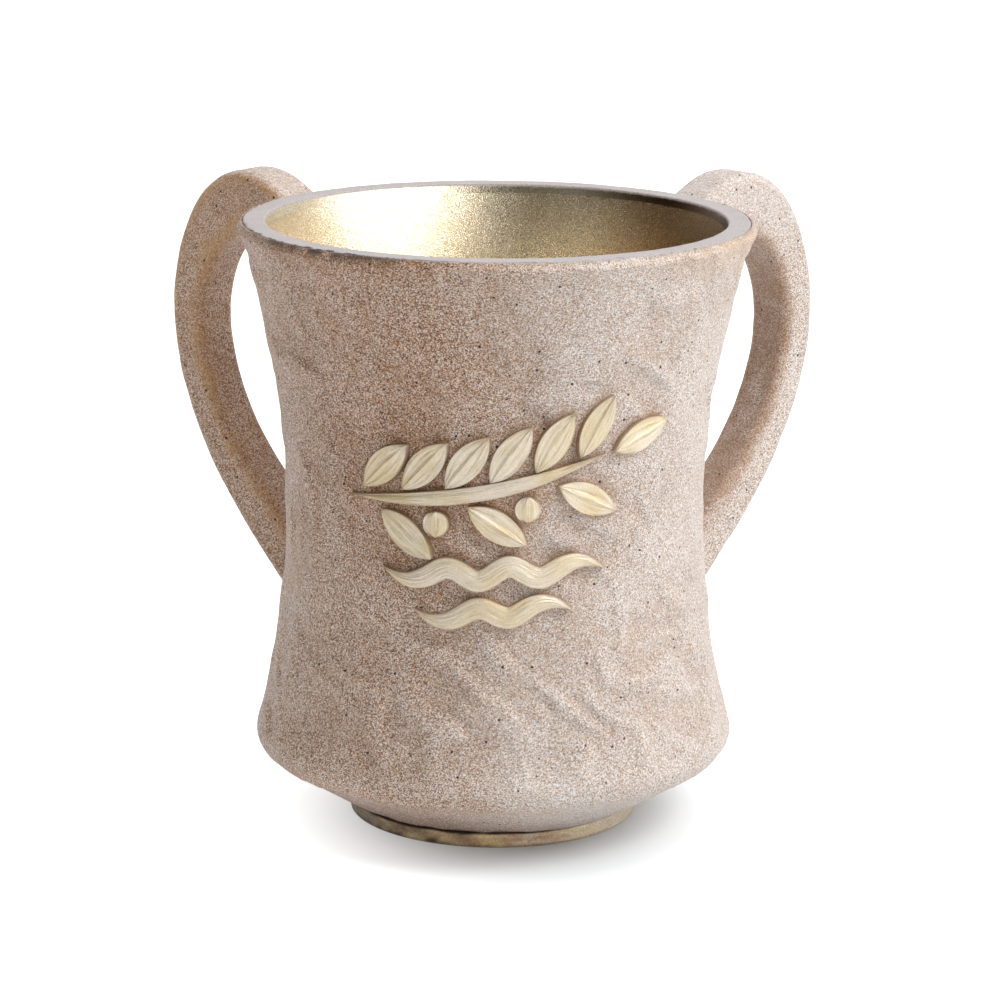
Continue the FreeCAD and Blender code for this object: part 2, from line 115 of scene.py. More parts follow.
class SpaceNoise:
    """Seeded gradient noise on points in space, about -1 to 1, worked out for whole arrays."""

    size: int = 256
    gain: float = 1.7
    layer_shift: float = 17.3

    def __init__(self, seed: Seed) -> None:
        """Draw the table of gradients.

        Args:
            seed: What fixes the pattern.
        """
        draw = np.random.default_rng(int(seed))
        self.order = draw.permutation(self.size)
        self.slopes = unit(draw.normal(size=(self.size, 3)))

    def at(self, points: np.ndarray) -> np.ndarray:
        """Give the noise at points whose last axis is x, y, z in cells.

        Args:
            points: The places, in cells.

        Returns:
            The noise: in each cell the eight corners' gradients, dotted with the way to the
            point and weighed by the fade 6t^5 - 15t^4 + 10t^3 on each axis.
        """
        cell = np.floor(points).astype(int)
        inside = points - cell
        fade = inside ** 3 * (inside * (inside * 6 - 15) + 10)
        total = np.zeros(points.shape[:-1])
        for corner in product((0, 1), repeat=3):
            way = np.array(corner)
            at = (cell + way) % self.size
            row = self.order[(self.order[at[..., 0]] + at[..., 1]) % self.size]
            pick = self.order[(row + at[..., 2]) % self.size]
            weight = np.prod(np.where(way == 1, fade, 1 - fade), axis=-1)
            total += weight * np.sum(self.slopes[pick] * (inside - way), axis=-1)
        return total * self.gain

    def layers(self, points: np.ndarray, count: int) -> np.ndarray:
        """Add up layers of noise, each twice as fine and half as strong as the last.

        Args:
            points: The places, in cells of the first layer.
            count: How many layers.

        Returns:
            The sum of the layers.
        """
        return sum(self.at(points * 2 ** n + self.layer_shift * n) / 2 ** n
                   for n in range(count))


def smooth_step(values: np.ndarray, low: float, high: float) -> np.ndarray:
    """Rise smoothly from 0 at low to 1 at high, as 3t^2 - 2t^3.

    Args:
        values: What is stepped.
        low: Where the rise begins.
        high: Where it ends.

    Returns:
        The stepped values.
    """
    share = np.clip((values - low) / (high - low), 0, 1)
    return share * share * (3 - 2 * share)


def hump(values: np.ndarray, middle: float, width: float) -> np.ndarray:
    """Rise to 1 at the middle and fall off on both sides, as exp(-((v - m) / w)^2)."""
    return np.exp(-((values - middle) / width) ** 2)


def unit(ways: np.ndarray) -> np.ndarray:
    """Bring every vector on the last axis to a length of one."""
    return ways / np.linalg.norm(ways, axis=-1, keepdims=True)


def run_of(points: np.ndarray) -> np.ndarray:
    """Add up the length of a line of points, from its first point to each."""
    return np.concatenate([[0], np.cumsum(np.linalg.norm(np.diff(points, axis=0), axis=1))])


def along(at: np.ndarray, run: np.ndarray, points: np.ndarray) -> np.ndarray:
    """Find the places on a line of points where its run has the given values."""
    return np.stack([np.interp(at, run, column) for column in points.T], axis=1)


def spread(points: np.ndarray, count: int) -> np.ndarray:
    """Sample a line of points again at even steps of its length, with both ends kept."""
    run = run_of(points)
    return along(np.linspace(0, run[-1], count), run, points)


def spline(poles: np.ndarray, count: int) -> np.ndarray:
    """Sample a clamped uniform cubic B-spline.

    Args:
        poles: Control points, one a row.
        count: How many samples.

    Returns:
        The samples: the poles weighed by the Cox and de Boor basis of degree three.
    """
    degree = 3
    spans = len(poles) - degree
    knots = np.pad(np.linspace(0, 1, spans + 1), degree, mode="edge")
    at = np.linspace(0, 1, count)
    span = np.clip(np.searchsorted(knots, at, side="right") - 1, degree, degree + spans - 1)
    basis = np.zeros((count, len(knots) - 1))
    basis[np.arange(count), span] = 1
    for order in range(1, degree + 1):
        left = knots[:-order - 1]
        right = knots[order + 1:]
        rise = knots[order:-1] - left
        fall = right - knots[1:-order]
        up = np.where(rise > 0, (at[:, None] - left) / np.where(rise > 0, rise, 1), 0)
        down = np.where(fall > 0, (right - at[:, None]) / np.where(fall > 0, fall, 1), 0)
        basis = up * basis[:, :-1] + down * basis[:, 1:]
    return basis @ np.asarray(poles, float)


def arc_radius(side: np.ndarray, rise: np.ndarray) -> np.ndarray:
    """Give the radius (a^2 + b^2) / 2a of an arc that starts upright, spreads a, rises b."""
    return (side ** 2 + rise ** 2) / (2 * side)


def quarter_arc(centre: tuple[float, float], radius: float, start: int, end: int,
                count: int) -> np.ndarray:
    """Sample a quarter circle of a section.

    Args:
        centre: Its centre, as radius and height.
        radius: Its own radius.
        start: Where it starts, in quarter turns from straight outwards.
        end: Where it ends, in the same measure.
        count: How many samples.

    Returns:
        Points centre + radius (cos, sin).
    """
    angle = np.linspace(start, end, count) * QUARTER_TURN
    return np.array(centre) + radius * np.stack([np.cos(angle), np.sin(angle)], axis=1)


def round_corner(before: np.ndarray, after: np.ndarray, radius: float) -> np.ndarray:
    """Join two runs that meet in a corner, with an arc in its place.

    Args:
        before: The run that ends at the corner.
        after: The run that starts there.
        radius: The arc's radius.

    Returns:
        One run. Both are trimmed by radius * tan(turn / 2), and the curve between the
        trimmed ends is a cubic with handles of 4/3 tan(turn / 4) radii.
    """
    corner = before[-1]
    into = unit(corner - before[-2])
    out = unit(after[1] - corner)
    turn = math.acos(float(np.clip(into @ out, -1, 1)))
    trim = radius * math.tan(turn / 2)
    handle = 4 / 3 * math.tan(turn / 4) * radius
    before = before[np.linalg.norm(before - corner, axis=1) > trim]
    after = after[np.linalg.norm(after - corner, axis=1) > trim]
    start = corner - into * trim
    end = corner + out * trim
    t = np.linspace(0, 1, 9)[:, None]
    arc = (
        (1 - t) ** 3 * start
        + 3 * (1 - t) ** 2 * t * (start + into * handle)
        + 3 * (1 - t) * t ** 2 * (end - out * handle)
        + t ** 3 * end
    )
    return np.concatenate([before, arc, after])


def turned(profile: np.ndarray, columns: int) -> np.ndarray:
    """Carry a profile round the cup's axis.

    Args:
        profile: Radius and height of each point, in millimetres.
        columns: How many steps make the full turn.

    Returns:
        Points (r sin a, -r cos a, z) in millimetres, where a is the turn from the front
        towards the right, and each row is one profile point.
    """
    angle = np.linspace(0, FULL_TURN, columns, endpoint=False)
    radius, height = profile[:, :1], profile[:, 1:]
    x = radius * np.sin(angle)
    y = -radius * np.cos(angle)
    return np.stack([x, y, np.broadcast_to(height, x.shape)], axis=-1)


def around(points: np.ndarray) -> tuple[np.ndarray, np.ndarray, np.ndarray]:
    """Say where points stand round the cup's axis.

    Args:
        points: Places, with x, y and z on the last axis.

    Returns:
        The turn from the front towards the right, the distance from the axis, the height.
    """
    x, y, z = np.moveaxis(points, -1, 0)
    return np.arctan2(x, -y), np.hypot(x, y), z


def pulled_in(points: np.ndarray, cut: np.ndarray) -> np.ndarray:
    """Move points straight towards the cup's axis by the given distances."""
    return points - unit(points * [1, 1, 0]) * cut[..., None]


# Meshes


class Surface:
    """A grid of points that becomes one closed mesh."""

    def __init__(self, points: np.ndarray, wraps: bool = True) -> None:
        """Keep a grid of points.

        Args:
            points: Rows by columns by three, in millimetres. Each row is a ring of columns.
            wraps: Whether the last row joins the first, so no ends need closing.
        """
        self.points = points * MM
        self.wraps = wraps
        self.marks: dict[str, np.ndarray] = {}
        self.strokes: np.ndarray | None = None

    def faces(self) -> tuple[np.ndarray, list[tuple[int, ...]]]:
        """Number the corners of every face.

        Returns:
            The four-sided faces of the grid, and the three-sided ones that close both ends
            on one more point each, numbered after the grid's.
        """
        rows, columns = self.points.shape[:2]
        row = np.arange(rows if self.wraps else rows - 1)
        column = np.arange(columns)
        near = row[:, None] * columns
        far = (row[:, None] + 1) % rows * columns
        after = (column + 1) % columns
        quads = np.stack([near + column, near + after, far + after, far + column], axis=-1)
        ends = []
        if not self.wraps:
            last = (rows - 1) * columns
            start = rows * columns
            stop = start + 1
            ends += [(start, int(b), int(a)) for a, b in zip(column, after)]
            ends += [(stop, int(last + a), int(last + b)) for a, b in zip(column, after)]
        return quads.reshape(-1, 4), ends

    def build(self, name: str, sharp: float) -> bpy.types.Object:
        """Make the object, its smooth shading, its marks and its stroke map.

        Args:
            name: The object's name.
            sharp: Edges that turn by more degrees than this stay crisp.

        Returns:
            The object, at the origin.
        """
        quads, ends = self.faces()
        vertices = self.points.reshape(-1, 3)
        if ends:
            middles = np.stack([self.points[0].mean(axis=0), self.points[-1].mean(axis=0)])
            vertices = np.concatenate([vertices, middles])
        mesh = bpy.data.meshes.new(name)
        mesh.from_pydata(vertices.tolist(), [], quads.tolist() + ends)
        mesh.update()
        mesh.shade_smooth()
        mesh.set_sharp_from_angle(angle=math.radians(sharp))
        for mark, values in self.marks.items():
            full = np.zeros(len(vertices), np.float32)
            full[:values.size] = values.ravel()
            mesh.attributes.new(mark, "FLOAT", "POINT").data.foreach_set("value", full)
        if self.strokes is not None:
            places = np.zeros((len(vertices), 2))
            places[:self.strokes[..., 0].size] = self.strokes.reshape(-1, 2)
            corners = np.zeros(len(mesh.loops), int)
            mesh.loops.foreach_get("vertex_index", corners)
            layer = mesh.uv_layers.new(name=STROKE_MAP)
            layer.data.foreach_set("uv", places[corners].ravel())
        thing = bpy.data.objects.new(name, mesh)
        bpy.context.scene.collection.objects.link(thing)
        return thing


# Node graphs


class Nodes:
    """Short calls for the nodes of one node tree."""

    def __init__(self, tree: bpy.types.NodeTree, coordinates: str) -> None:
        """Keep the tree, and add the coordinates that its patterns read.

        Args:
            tree: The node tree.
            coordinates: Which coordinates they are.
        """
        self.tree = tree
        self.place = self.node("ShaderNodeTexCoord").outputs[coordinates]

    def node(self, kind: str, **settings: object) -> bpy.types.Node:
        """Add a node.

        Args:
            kind: The node's type.
            settings: Its properties.

        Returns:
            The node.
        """
        made = self.tree.nodes.new(kind)
        for name, setting in settings.items():
            setattr(made, name, setting)
        return made

    def feed(self, socket: bpy.types.NodeSocket, source: object) -> None:
        """Link a socket to another, or set its own value.

        Args:
            socket: The input.
            source: An output socket, a number or a colour.
        """
        if isinstance(source, bpy.types.NodeSocket):
            self.tree.links.new(source, socket)
        else:
            socket.default_value = source

    def maths(self, operation: str, first: object, second: object = 0.5,
              third: object = 0.5, clamp: bool = False) -> bpy.types.NodeSocket:
        """Work a sum on up to three sockets or numbers.

        Args:
            operation: The Math node's operation.
            first: Its first input.
            second: Its second input.
            third: Its third input.
            clamp: Whether the result is held between 0 and 1.

        Returns:
            The result.
        """
        made = self.node("ShaderNodeMath", operation=operation, use_clamp=clamp)
        for socket, source in zip(made.inputs, (first, second, third)):
            self.feed(socket, source)
        return made.outputs[0]

    def times(self, first: object, second: object) -> bpy.types.NodeSocket:
        """Multiply two sockets or numbers."""
        return self.maths("MULTIPLY", first, second)

    def sway(self, value: object, pattern: object, share: float) -> bpy.types.NodeSocket:
        """Add a share of a pattern, less its middle of one half, to a value."""
        return self.maths("MULTIPLY_ADD", self.maths("SUBTRACT", pattern, 0.5), share, value)

    def step(self, value: object, low: float, high: float, start: float = 0.0,
             end: float = 1.0) -> bpy.types.NodeSocket:
        """Map a value smoothly from one range to another and hold it there.

        Args:
            value: The input.
            low: Where the input's range starts.
            high: Where it ends.
            start: The result at the start.
            end: The result at the end.

        Returns:
            The result.
        """
        made = self.node("ShaderNodeMapRange", interpolation_type="SMOOTHSTEP")
        for name, source in (("Value", value), ("From Min", low), ("From Max", high),
                             ("To Min", start), ("To Max", end)):
            self.feed(made.inputs[name], source)
        return made.outputs["Result"]

    def ramp(self, value: object, stops: Stops) -> bpy.types.NodeSocket:
        """Turn a value into a colour.

        Args:
            value: The input.
            stops: Places and their colours.

        Returns:
            The colour.
        """
        made = self.node("ShaderNodeValToRGB")
        elements = made.color_ramp.elements
        while len(elements) < len(stops):
            elements.new(1.0)
        for element, (place, colour) in zip(elements, stops):
            element.position = place
            element.color = colour
        self.feed(made.inputs["Fac"], value)
        return made.outputs["Color"]

    def mix(self, share: object, first: object, second: object,
            blend: str = "MIX") -> bpy.types.NodeSocket:
        """Mix two colours.

        Args:
            share: How much of the second.
            first: The first colour.
            second: The second colour.
            blend: How they are mixed.

        Returns:
            The mixed colour.
        """
        made = self.node("ShaderNodeMix", data_type="RGBA", blend_type=blend)
        self.feed(made.inputs["Factor"], share)
        self.feed(made.inputs[6], first)
        self.feed(made.inputs[7], second)
        return made.outputs[2]

    def tint(self, share: object, first: object, second: object) -> bpy.types.NodeSocket:
        """Darken a share of one colour by another, channel by channel."""
        return self.mix(share, first, second, "MULTIPLY")


class Graph(Nodes):
    """The node tree of one material, whose patterns sit in the object's own space."""

    def __init__(self, name: str) -> None:
        """Start a material with its output and principled shader.

        Args:
            name: The material's name.
        """
        self.material = bpy.data.materials.new(name)
        self.material.use_nodes = True
        super().__init__(self.material.node_tree, "Object")
        self.shader = self.tree.nodes["Principled BSDF"]

    def noise(self, cell: float, detail: float = 2.0, stretch: tuple | None = None,
              rough: float = 0.5) -> bpy.types.NodeSocket:
        """Add a noise of a given grain.

        Args:
            cell: The grain's size in millimetres.
            detail: How many finer layers it has.
            stretch: How many times longer it is along x, y and z.
            rough: How strong the finer layers are.

        Returns:
            The noise, from 0 to 1.
        """
        made = self.node("ShaderNodeTexNoise")
        where = self.place
        if stretch:
            mapping = self.node("ShaderNodeMapping")
            mapping.inputs["Scale"].default_value = [1 / s for s in stretch]
            self.feed(mapping.inputs["Vector"], where)
            where = mapping.outputs["Vector"]
        for name, source in (("Vector", where), ("Scale", 1 / (cell * MM)),
                             ("Detail", detail), ("Roughness", rough)):
            self.feed(made.inputs[name], source)
        return made.outputs["Fac"]

    def cells(self, size: float) -> bpy.types.Node:
        """Add a pattern of cells, one for each grain.

        Args:
            size: The cells' size in millimetres.

        Returns:
            The Voronoi node.
        """
        made = self.node("ShaderNodeTexVoronoi")
        self.feed(made.inputs["Vector"], self.place)
        self.feed(made.inputs["Scale"], 1 / (size * MM))
        return made

    def draw_of(self, cells: bpy.types.Node, index: int) -> bpy.types.NodeSocket:
        """Take one of the numbers, from 0 to 1, that each cell draws.

        Args:
            cells: The Voronoi node.
            index: Which of its three numbers, from 0.

        Returns:
            The number.
        """
        made = self.node("ShaderNodeSeparateColor")
        self.feed(made.inputs[0], cells.outputs["Color"])
        return made.outputs[index]

    def deepen(self, colour: object, power: object) -> bpy.types.NodeSocket:
        """Raise a colour to a power, which leaves white as it is.

        Args:
            colour: The colour socket.
            power: The power.

        Returns:
            The deeper colour.
        """
        made = self.node("ShaderNodeGamma")
        self.feed(made.inputs["Color"], colour)
        self.feed(made.inputs["Gamma"], power)
        return made.outputs["Color"]

    def mark(self, name: str) -> bpy.types.NodeSocket:
        """Read a mark that the mesh carries, by its attribute's name."""
        return self.node("ShaderNodeAttribute", attribute_name=name).outputs["Fac"]

    def bumps(self, layers: list[tuple[object, float]]) -> None:
        """Feed the shader's normal with bump layers.

        Args:
            layers: Heights from 0 to 1, each with its depth in millimetres.
        """
        normal = None
        for height, depth in layers:
            made = self.node("ShaderNodeBump")
            made.inputs["Distance"].default_value = depth * MM
            self.feed(made.inputs["Height"], height)
            if normal is not None:
                self.feed(made.inputs["Normal"], normal)
            normal = made.outputs["Normal"]
        self.feed(self.shader.inputs["Normal"], normal)

    def finish(self, **inputs: object) -> bpy.types.Material:
        """Set the shader's inputs.

        Args:
            inputs: Names with underscores for spaces, and sockets or constants.

        Returns:
            The material.
        """
        for name, source in inputs.items():
            self.feed(self.shader.inputs[name.replace("_", " ")], source)
        return self.material


# Finishes


@dataclass(frozen=True)
class StoneFinish:
    """Cast stone-effect resin: packed pale and brown grains, a few black specks and a wash, with
    painted light and shade laid over them.

    The sizes of grain, dust, fleck and speck are in millimetres.
    """

    grain: float = 0.19
    dust: float = 0.27
    fleck: float = 0.22
    speck: float = 3.2
    speck_reach: tuple[float, float] = (0.085, 0.1)
    clump_sway: float = 0.06
    cloud_sway: float = 0.3
    wash_and_shade_sway: float = -0.15
    hue_sway: float = 0.8
    dust_share: float = 0.6
    drift_share: float = 0.8
    calm_and_lit_share: float = 0.6
    wash_and_shade_share: float = 0.55
    ochre_and_light_share: float = 0.7
    dark_edge_and_shade_share: float = 0.85
    warm_shade_power: float = 0.56
    roughness: tuple[float, float] = (0.46, 0.68)
    grains: Stops = (
        (0.02, linear(96, 60, 28)),
        (0.17, linear(152, 109, 62)),
        (0.34, linear(211, 181, 140)),
        (0.52, linear(231, 218, 202)),
        (0.68, linear(248, 245, 243)),
        (0.8, linear(252, 251, 250)),
    )
    hues: Stops = (
        (0.0, linear(255, 218, 166)),
        (0.3, linear(255, 243, 226)),
        (0.6, linear(254, 252, 252)),
        (1.0, linear(248, 250, 255)),
    )
    dusts: Stops = ((0.35, linear(148, 114, 82)), (0.52, WHITE))
    drifts: Stops = ((0.3, linear(243, 234, 224)), (0.7, linear(253, 254, 255)))
    # The calm colour also paints the lit half, the warm tint paints shade, and the wash, ochre
    # and dark edge colours carry painted shade and highlight besides stains.
    calm_and_lit_colour: Colour = linear(221, 211, 209)
    warm_shade_tint: Colour = linear(255, 240, 229)
    wash_and_shade_colour: Colour = linear(158, 112, 68)
    ochre_and_light_colour: Colour = linear(208, 160, 104)
    dark_edge_and_shade_colour: Colour = linear(58, 44, 36)
    fleck_colour: Colour = linear(250, 248, 248)
    speck_colour: Colour = linear(24, 18, 16)

    def material(self) -> bpy.types.Material:
        """Build the finish.

        Returns:
            The material. It reads the mesh's marks for the wash, the warm shade, the ochre, the
            calm grain and the dark edges, which carry painted light and shade besides stains.
        """
        g = Graph(Slot.STONE.value)
        # Each grain draws its tone. Clumps, clouds and the brown wash, which also carries
        # painted shade, sway the draw.
        cells = g.cells(self.grain)
        clump = g.noise(2.6, 4, rough=0.6)
        cloud = g.noise(21, 3)
        drift = g.noise(9, 3, stretch=(1, 1, 2.2))
        pick = g.sway(g.draw_of(cells, 0), clump, self.clump_sway)
        pick = g.sway(pick, cloud, self.cloud_sway)
        wash_and_shade = g.maths("MULTIPLY", g.mark("wash_and_shade"), g.step(clump, 0.2, 0.75, 0.6, 1.15),
                       clamp=True)
        pick = g.maths("MULTIPLY_ADD", wash_and_shade, self.wash_and_shade_sway, pick)
        colour = g.ramp(pick, self.grains)
        # Dust darkens it between the grains, and a second draw turns it golden or cool.
        dust = g.noise(self.dust, 1)
        colour = g.tint(self.dust_share, colour, g.ramp(dust, self.dusts))
        hue = g.sway(g.draw_of(cells, 2), g.noise(2.0, 2), self.hue_sway)
        colour = g.tint(g.step(pick, 0.35, 0.7, 1.0, 0.4), colour, g.ramp(hue, self.hues))
        colour = g.tint(self.drift_share, colour, g.ramp(drift, self.drifts))
        # The calm colour evens the grain on the underside, and paints light: the half facing the
        # key lamp is paler and calmer.
        colour = g.mix(g.times(g.mark("calm_and_lit"), self.calm_and_lit_share), colour, self.calm_and_lit_colour)
        # Painted shade: away from the key lamp the grain is deepened by a power here and warmed
        # by a tint below.
        warm_shade = g.mark("warm_shade")
        colour = g.deepen(colour, g.maths("MULTIPLY_ADD", warm_shade, self.warm_shade_power, 1.0))
        # A few grains are nearly white, also where painted shade warms the stone.
        fleck = g.step(g.draw_of(g.cells(self.fleck), 0), 0.83, 0.88, 0.0, 0.9)
        colour = g.mix(fleck, colour, self.fleck_colour)
        # The warm tint of the painted shade.
        colour = g.tint(warm_shade, colour, self.warm_shade_tint)
        # The wash colour lays the brown wash and the painted shade that its mark carries.
        colour = g.mix(g.times(wash_and_shade, self.wash_and_shade_share), colour, self.wash_and_shade_colour)
        # The ochre is stain. On the shaded left handle it also paints shade on the upper flank
        # and a highlight along the crown.
        ochre_and_light = g.times(g.mark("ochre_and_light"), g.step(drift, 0.25, 0.7, 0.5, 1.0))
        colour = g.mix(g.times(ochre_and_light, self.ochre_and_light_share), colour, self.ochre_and_light_colour)
        # Black specks stand in the middle of some large cells, and dark edges, partly painted
        # shade, cover the rest.
        specks = g.cells(self.speck)
        near = g.step(specks.outputs["Distance"], *self.speck_reach, 1.0, 0.0)
        few = g.step(g.draw_of(specks, 1), 0.32, 0.34)
        colour = g.mix(g.times(near, few), colour, self.speck_colour)
        colour = g.mix(g.times(g.mark("dark_edge_and_shade"), self.dark_edge_and_shade_share), colour, self.dark_edge_and_shade_colour)
        g.bumps([(g.noise(1.3, 3), 0.08), (cells.outputs["Distance"], -0.07), (dust, 0.06)])
        rough = g.step(dust, 0.3, 0.7, *self.roughness)
        return g.finish(Base_Color=colour, Roughness=rough, Specular_IOR_Level=0.5,
                        Sheen_Weight=0.12, Sheen_Roughness=0.45)


@dataclass(frozen=True)
class BowlFinish:
    """Sprayed pale gold with a fine glittering grain. The flakes' size is in millimetres."""

    flake: float = 0.22
    gold: Colour = linear(250, 243, 225)
    deep: Colour = linear(212, 186, 138)
    painted_shade_colour: Colour = linear(190, 170, 150)

    def coat(self, g: Graph) -> tuple[bpy.types.NodeSocket, bpy.types.NodeSocket, list]:
        """Lay the gold coat, with painted shade where the mark shade of the mesh is.

        Args:
            g: The material's graph.

        Returns:
            Its colour, its roughness and its bump layers.
        """
        grain = g.noise(0.24, 2)
        flakes = g.cells(self.flake)
        cloud = g.noise(14, 3)
        colour = g.mix(g.step(cloud, 0.3, 0.7, 0.0, 0.3), self.gold, self.deep)
        fleck = g.step(g.draw_of(flakes, 0), 0.0, 1.0, 0.0, 0.8)
        colour = g.mix(fleck, colour, self.deep)
        # Painted shade darkens the gold, as a dark reflection would.
        colour = g.tint(g.mark("shade"), colour, self.painted_shade_colour)
        rough = g.step(grain, 0.3, 0.7, 0.17, 0.3)
        bumps = [(grain, 0.055), (flakes.outputs["Distance"], 0.05), (g.noise(3.0, 2), 0.015)]
        return colour, rough, bumps

    def material(self) -> bpy.types.Material:
        """Build the finish.

        Returns:
            The material.
        """
        g = Graph(Slot.BOWL.value)
        colour, rough, bumps = self.coat(g)
        g.bumps(bumps)
        return g.finish(Base_Color=colour, Metallic=1.0, Roughness=rough)


@dataclass(frozen=True)
class RingFinish:
    """Smooth pale resin with a faint lilac cast, a rubbed edge and gilt carried up inside."""

    pale: Colour = linear(202, 196, 196)
    worn: Colour = linear(186, 179, 176)
    # Brown darkens the outer edge and paints shade there; deep paints shade on the gilt at the
    # right.
    brown: Colour = linear(70, 54, 44)
    deep: Colour = linear(150, 132, 118)
    dusts: Stops = ((0.34, linear(222, 215, 212)), (0.6, WHITE))
    dust_share: float = 0.9
    dark_edge_and_shade_share: float = 0.85

    def material(self) -> bpy.types.Material:
        """Build the finish.

        Returns:
            The material. It reads the mesh's marks for the dark edge with its painted shade, for
            the gilt, and for the painted shade on the gilt.
        """
        g = Graph(Slot.RING.value)
        cloud = g.noise(6, 2)
        dust = g.noise(0.4, 2)
        gilt = g.mark("gilt")
        colour = g.mix(g.step(cloud, 0.35, 0.75, 0.0, 0.35), self.pale, self.worn)
        # The dark edge, partly painted shade, strongest on the left.
        colour = g.mix(g.times(g.mark("dark_edge_and_shade"), self.dark_edge_and_shade_share), colour, self.brown)
        colour = g.tint(self.dust_share, colour, g.ramp(dust, self.dusts))
        gold, smooth, bumps = BowlFinish().coat(g)
        # Painted shade on the gilt at the right, deeper than in the bowl.
        gold = g.tint(g.mark("shade"), gold, self.deep)
        colour = g.mix(gilt, colour, gold)
        g.bumps([(dust, 0.03), bumps[0]])
        rough = g.times(g.step(cloud, 0.3, 0.7, 0.42, 0.55), g.maths("SUBTRACT", 1.0, gilt))
        rough = g.maths("ADD", g.times(smooth, gilt), rough)
        return g.finish(Base_Color=colour, Roughness=rough, Metallic=gilt,
                        Specular_IOR_Level=0.4)


@dataclass(frozen=True)
class FootFinish:
    """Antique gold rubbed over brown, worn pale in places, with painted light on the right and
    painted shade on the left.
    """

    gold: Colour = linear(255, 230, 178)
    brown: Colour = linear(224, 188, 156)
    pale: Colour = linear(255, 243, 222)
    dark_edge_and_shade: Colour = linear(34, 26, 22)
    dusts: Stops = ((0.3, linear(206, 196, 182)), (0.7, WHITE))
    dust_share: float = 0.8
    pale_lit_share: float = 0.8
    dark_edge_and_shade_share: float = 0.9

    def material(self) -> bpy.types.Material:
        """Build the finish.

        Returns:
            The material. It reads the mesh's marks for the dark edges with painted shade, and
            for the paler right side, which is painted light.
        """
        g = Graph(Slot.FOOT.value)
        patch = g.noise(5.5, 4, stretch=(1, 1, 0.5), rough=0.6)
        grain = g.noise(0.4, 3)
        rub = g.noise(2.2, 4, stretch=(2.5, 2.5, 0.6))
        colour = g.mix(g.step(patch, 0.38, 0.62), self.gold, self.brown)
        # Rubbed wear, and painted light where the pale mark lies on the right.
        rubbed_and_lit = g.maths("MULTIPLY_ADD", g.mark("pale"), self.pale_lit_share,
                         g.step(rub, 0.55, 0.72, 0.0, 0.7), clamp=True)
        colour = g.mix(rubbed_and_lit, colour, self.pale)
        colour = g.tint(self.dust_share, colour, g.ramp(grain, self.dusts))
        # Dark seam and bottom edge, and painted shade on the left.
        colour = g.mix(g.times(g.mark("dark_edge_and_shade"), self.dark_edge_and_shade_share), colour, self.dark_edge_and_shade)
        g.bumps([(rub, 0.14), (grain, 0.04)])
        rough = g.step(patch, 0.35, 0.65, 0.4, 0.6)
        metal = g.step(patch, 0.35, 0.65, 0.35, 0.15)
        return g.finish(Base_Color=colour, Metallic=metal, Roughness=rough)


@dataclass(frozen=True)
class ReliefFinish:
    """Cream gold brushed along each stroke, with brown on its walls.

    The streaks are so many a millimetre along the stroke, and so many a half-width across.
    """

    streaks: tuple[float, float] = (0.16, 7.0)
    cream: Colour = linear(234, 222, 205)
    gold: Colour = linear(223, 204, 168)
    brown: Colour = linear(142, 108, 76)
    dusts: Stops = ((0.3, linear(232, 226, 214)), (0.7, WHITE))
    dust_share: float = 0.7
    side_share: float = 0.75
    patch_sway: float = 0.9
    metallic: float = 0.35

    def streak(self, g: Graph) -> bpy.types.NodeSocket:
        """Draw streaks that follow the strokes.

        Args:
            g: The material's graph.

        Returns:
            A noise from 0 to 1, read on the stroke map and drawn out along it.
        """
        places = g.node("ShaderNodeUVMap", uv_map=STROKE_MAP)
        parts = g.node("ShaderNodeSeparateXYZ")
        g.feed(parts.inputs[0], places.outputs[0])
        joined = g.node("ShaderNodeCombineXYZ")
        for index, often in enumerate(self.streaks):
            g.feed(joined.inputs[index], g.times(parts.outputs[index], often))
        brush = g.node("ShaderNodeTexNoise")
        for name, source in (("Vector", joined.outputs[0]), ("Scale", 1.0), ("Detail", 4.0),
                             ("Roughness", 0.7)):
            g.feed(brush.inputs[name], source)
        return brush.outputs["Fac"]

    def material(self) -> bpy.types.Material:
        """Build the finish.

        Returns:
            The material. It reads the stroke map, and the mark side, which is one on a
            stroke's walls.
        """
        g = Graph(Slot.RELIEF.value)
        streak = self.streak(g)
        grain = g.noise(0.3, 2)
        share = g.sway(streak, g.noise(11, 2), self.patch_sway)
        colour = g.mix(g.step(share, 0.36, 0.66), self.cream, self.gold)
        colour = g.mix(g.step(streak, 0.6, 0.7, 0.0, 0.55), colour, self.brown)
        colour = g.mix(g.times(g.mark("side"), self.side_share), colour, self.brown)
        colour = g.tint(self.dust_share, colour, g.ramp(grain, self.dusts))
        g.bumps([(streak, 0.16), (grain, 0.02)])
        rough = g.step(streak, 0.4, 0.7, 0.42, 0.6)
        return g.finish(Base_Color=colour, Metallic=self.metallic, Roughness=rough)


# The cup


@dataclass
class Wall:
    """The outer wall: two arcs that meet upright at the waist. Millimetres."""

    waist_radius: float = 45.1
    waist_height: float = 68.0
    neck_radius: float = 54.6
    neck_height: float = 126.5
    belly_radius: float = 52.4
    belly_height: float = 16.5
    past_ends: float = 8.0

    def radius(self, height: np.ndarray) -> np.ndarray:
        """Give the wall's radius.

        Args:
            height: Heights above the table.

        Returns:
            w + R - sqrt(R^2 - (z - h)^2), with w and h the waist's radius and height and
            R = (a^2 + b^2) / 2a for the arc that rises b and spreads a.
        """
        height = np.asarray(height, float)
        upper = height > self.waist_height
        side = np.where(upper, self.neck_radius, self.belly_radius) - self.waist_radius
        rise = np.where(upper, self.neck_height, self.belly_height) - self.waist_height
        arc = arc_radius(side, rise)
        reach = np.abs(rise) + self.past_ends
        off = np.clip(height - self.waist_height, -reach, reach)
        return self.waist_radius + arc - np.sqrt(arc ** 2 - off ** 2)


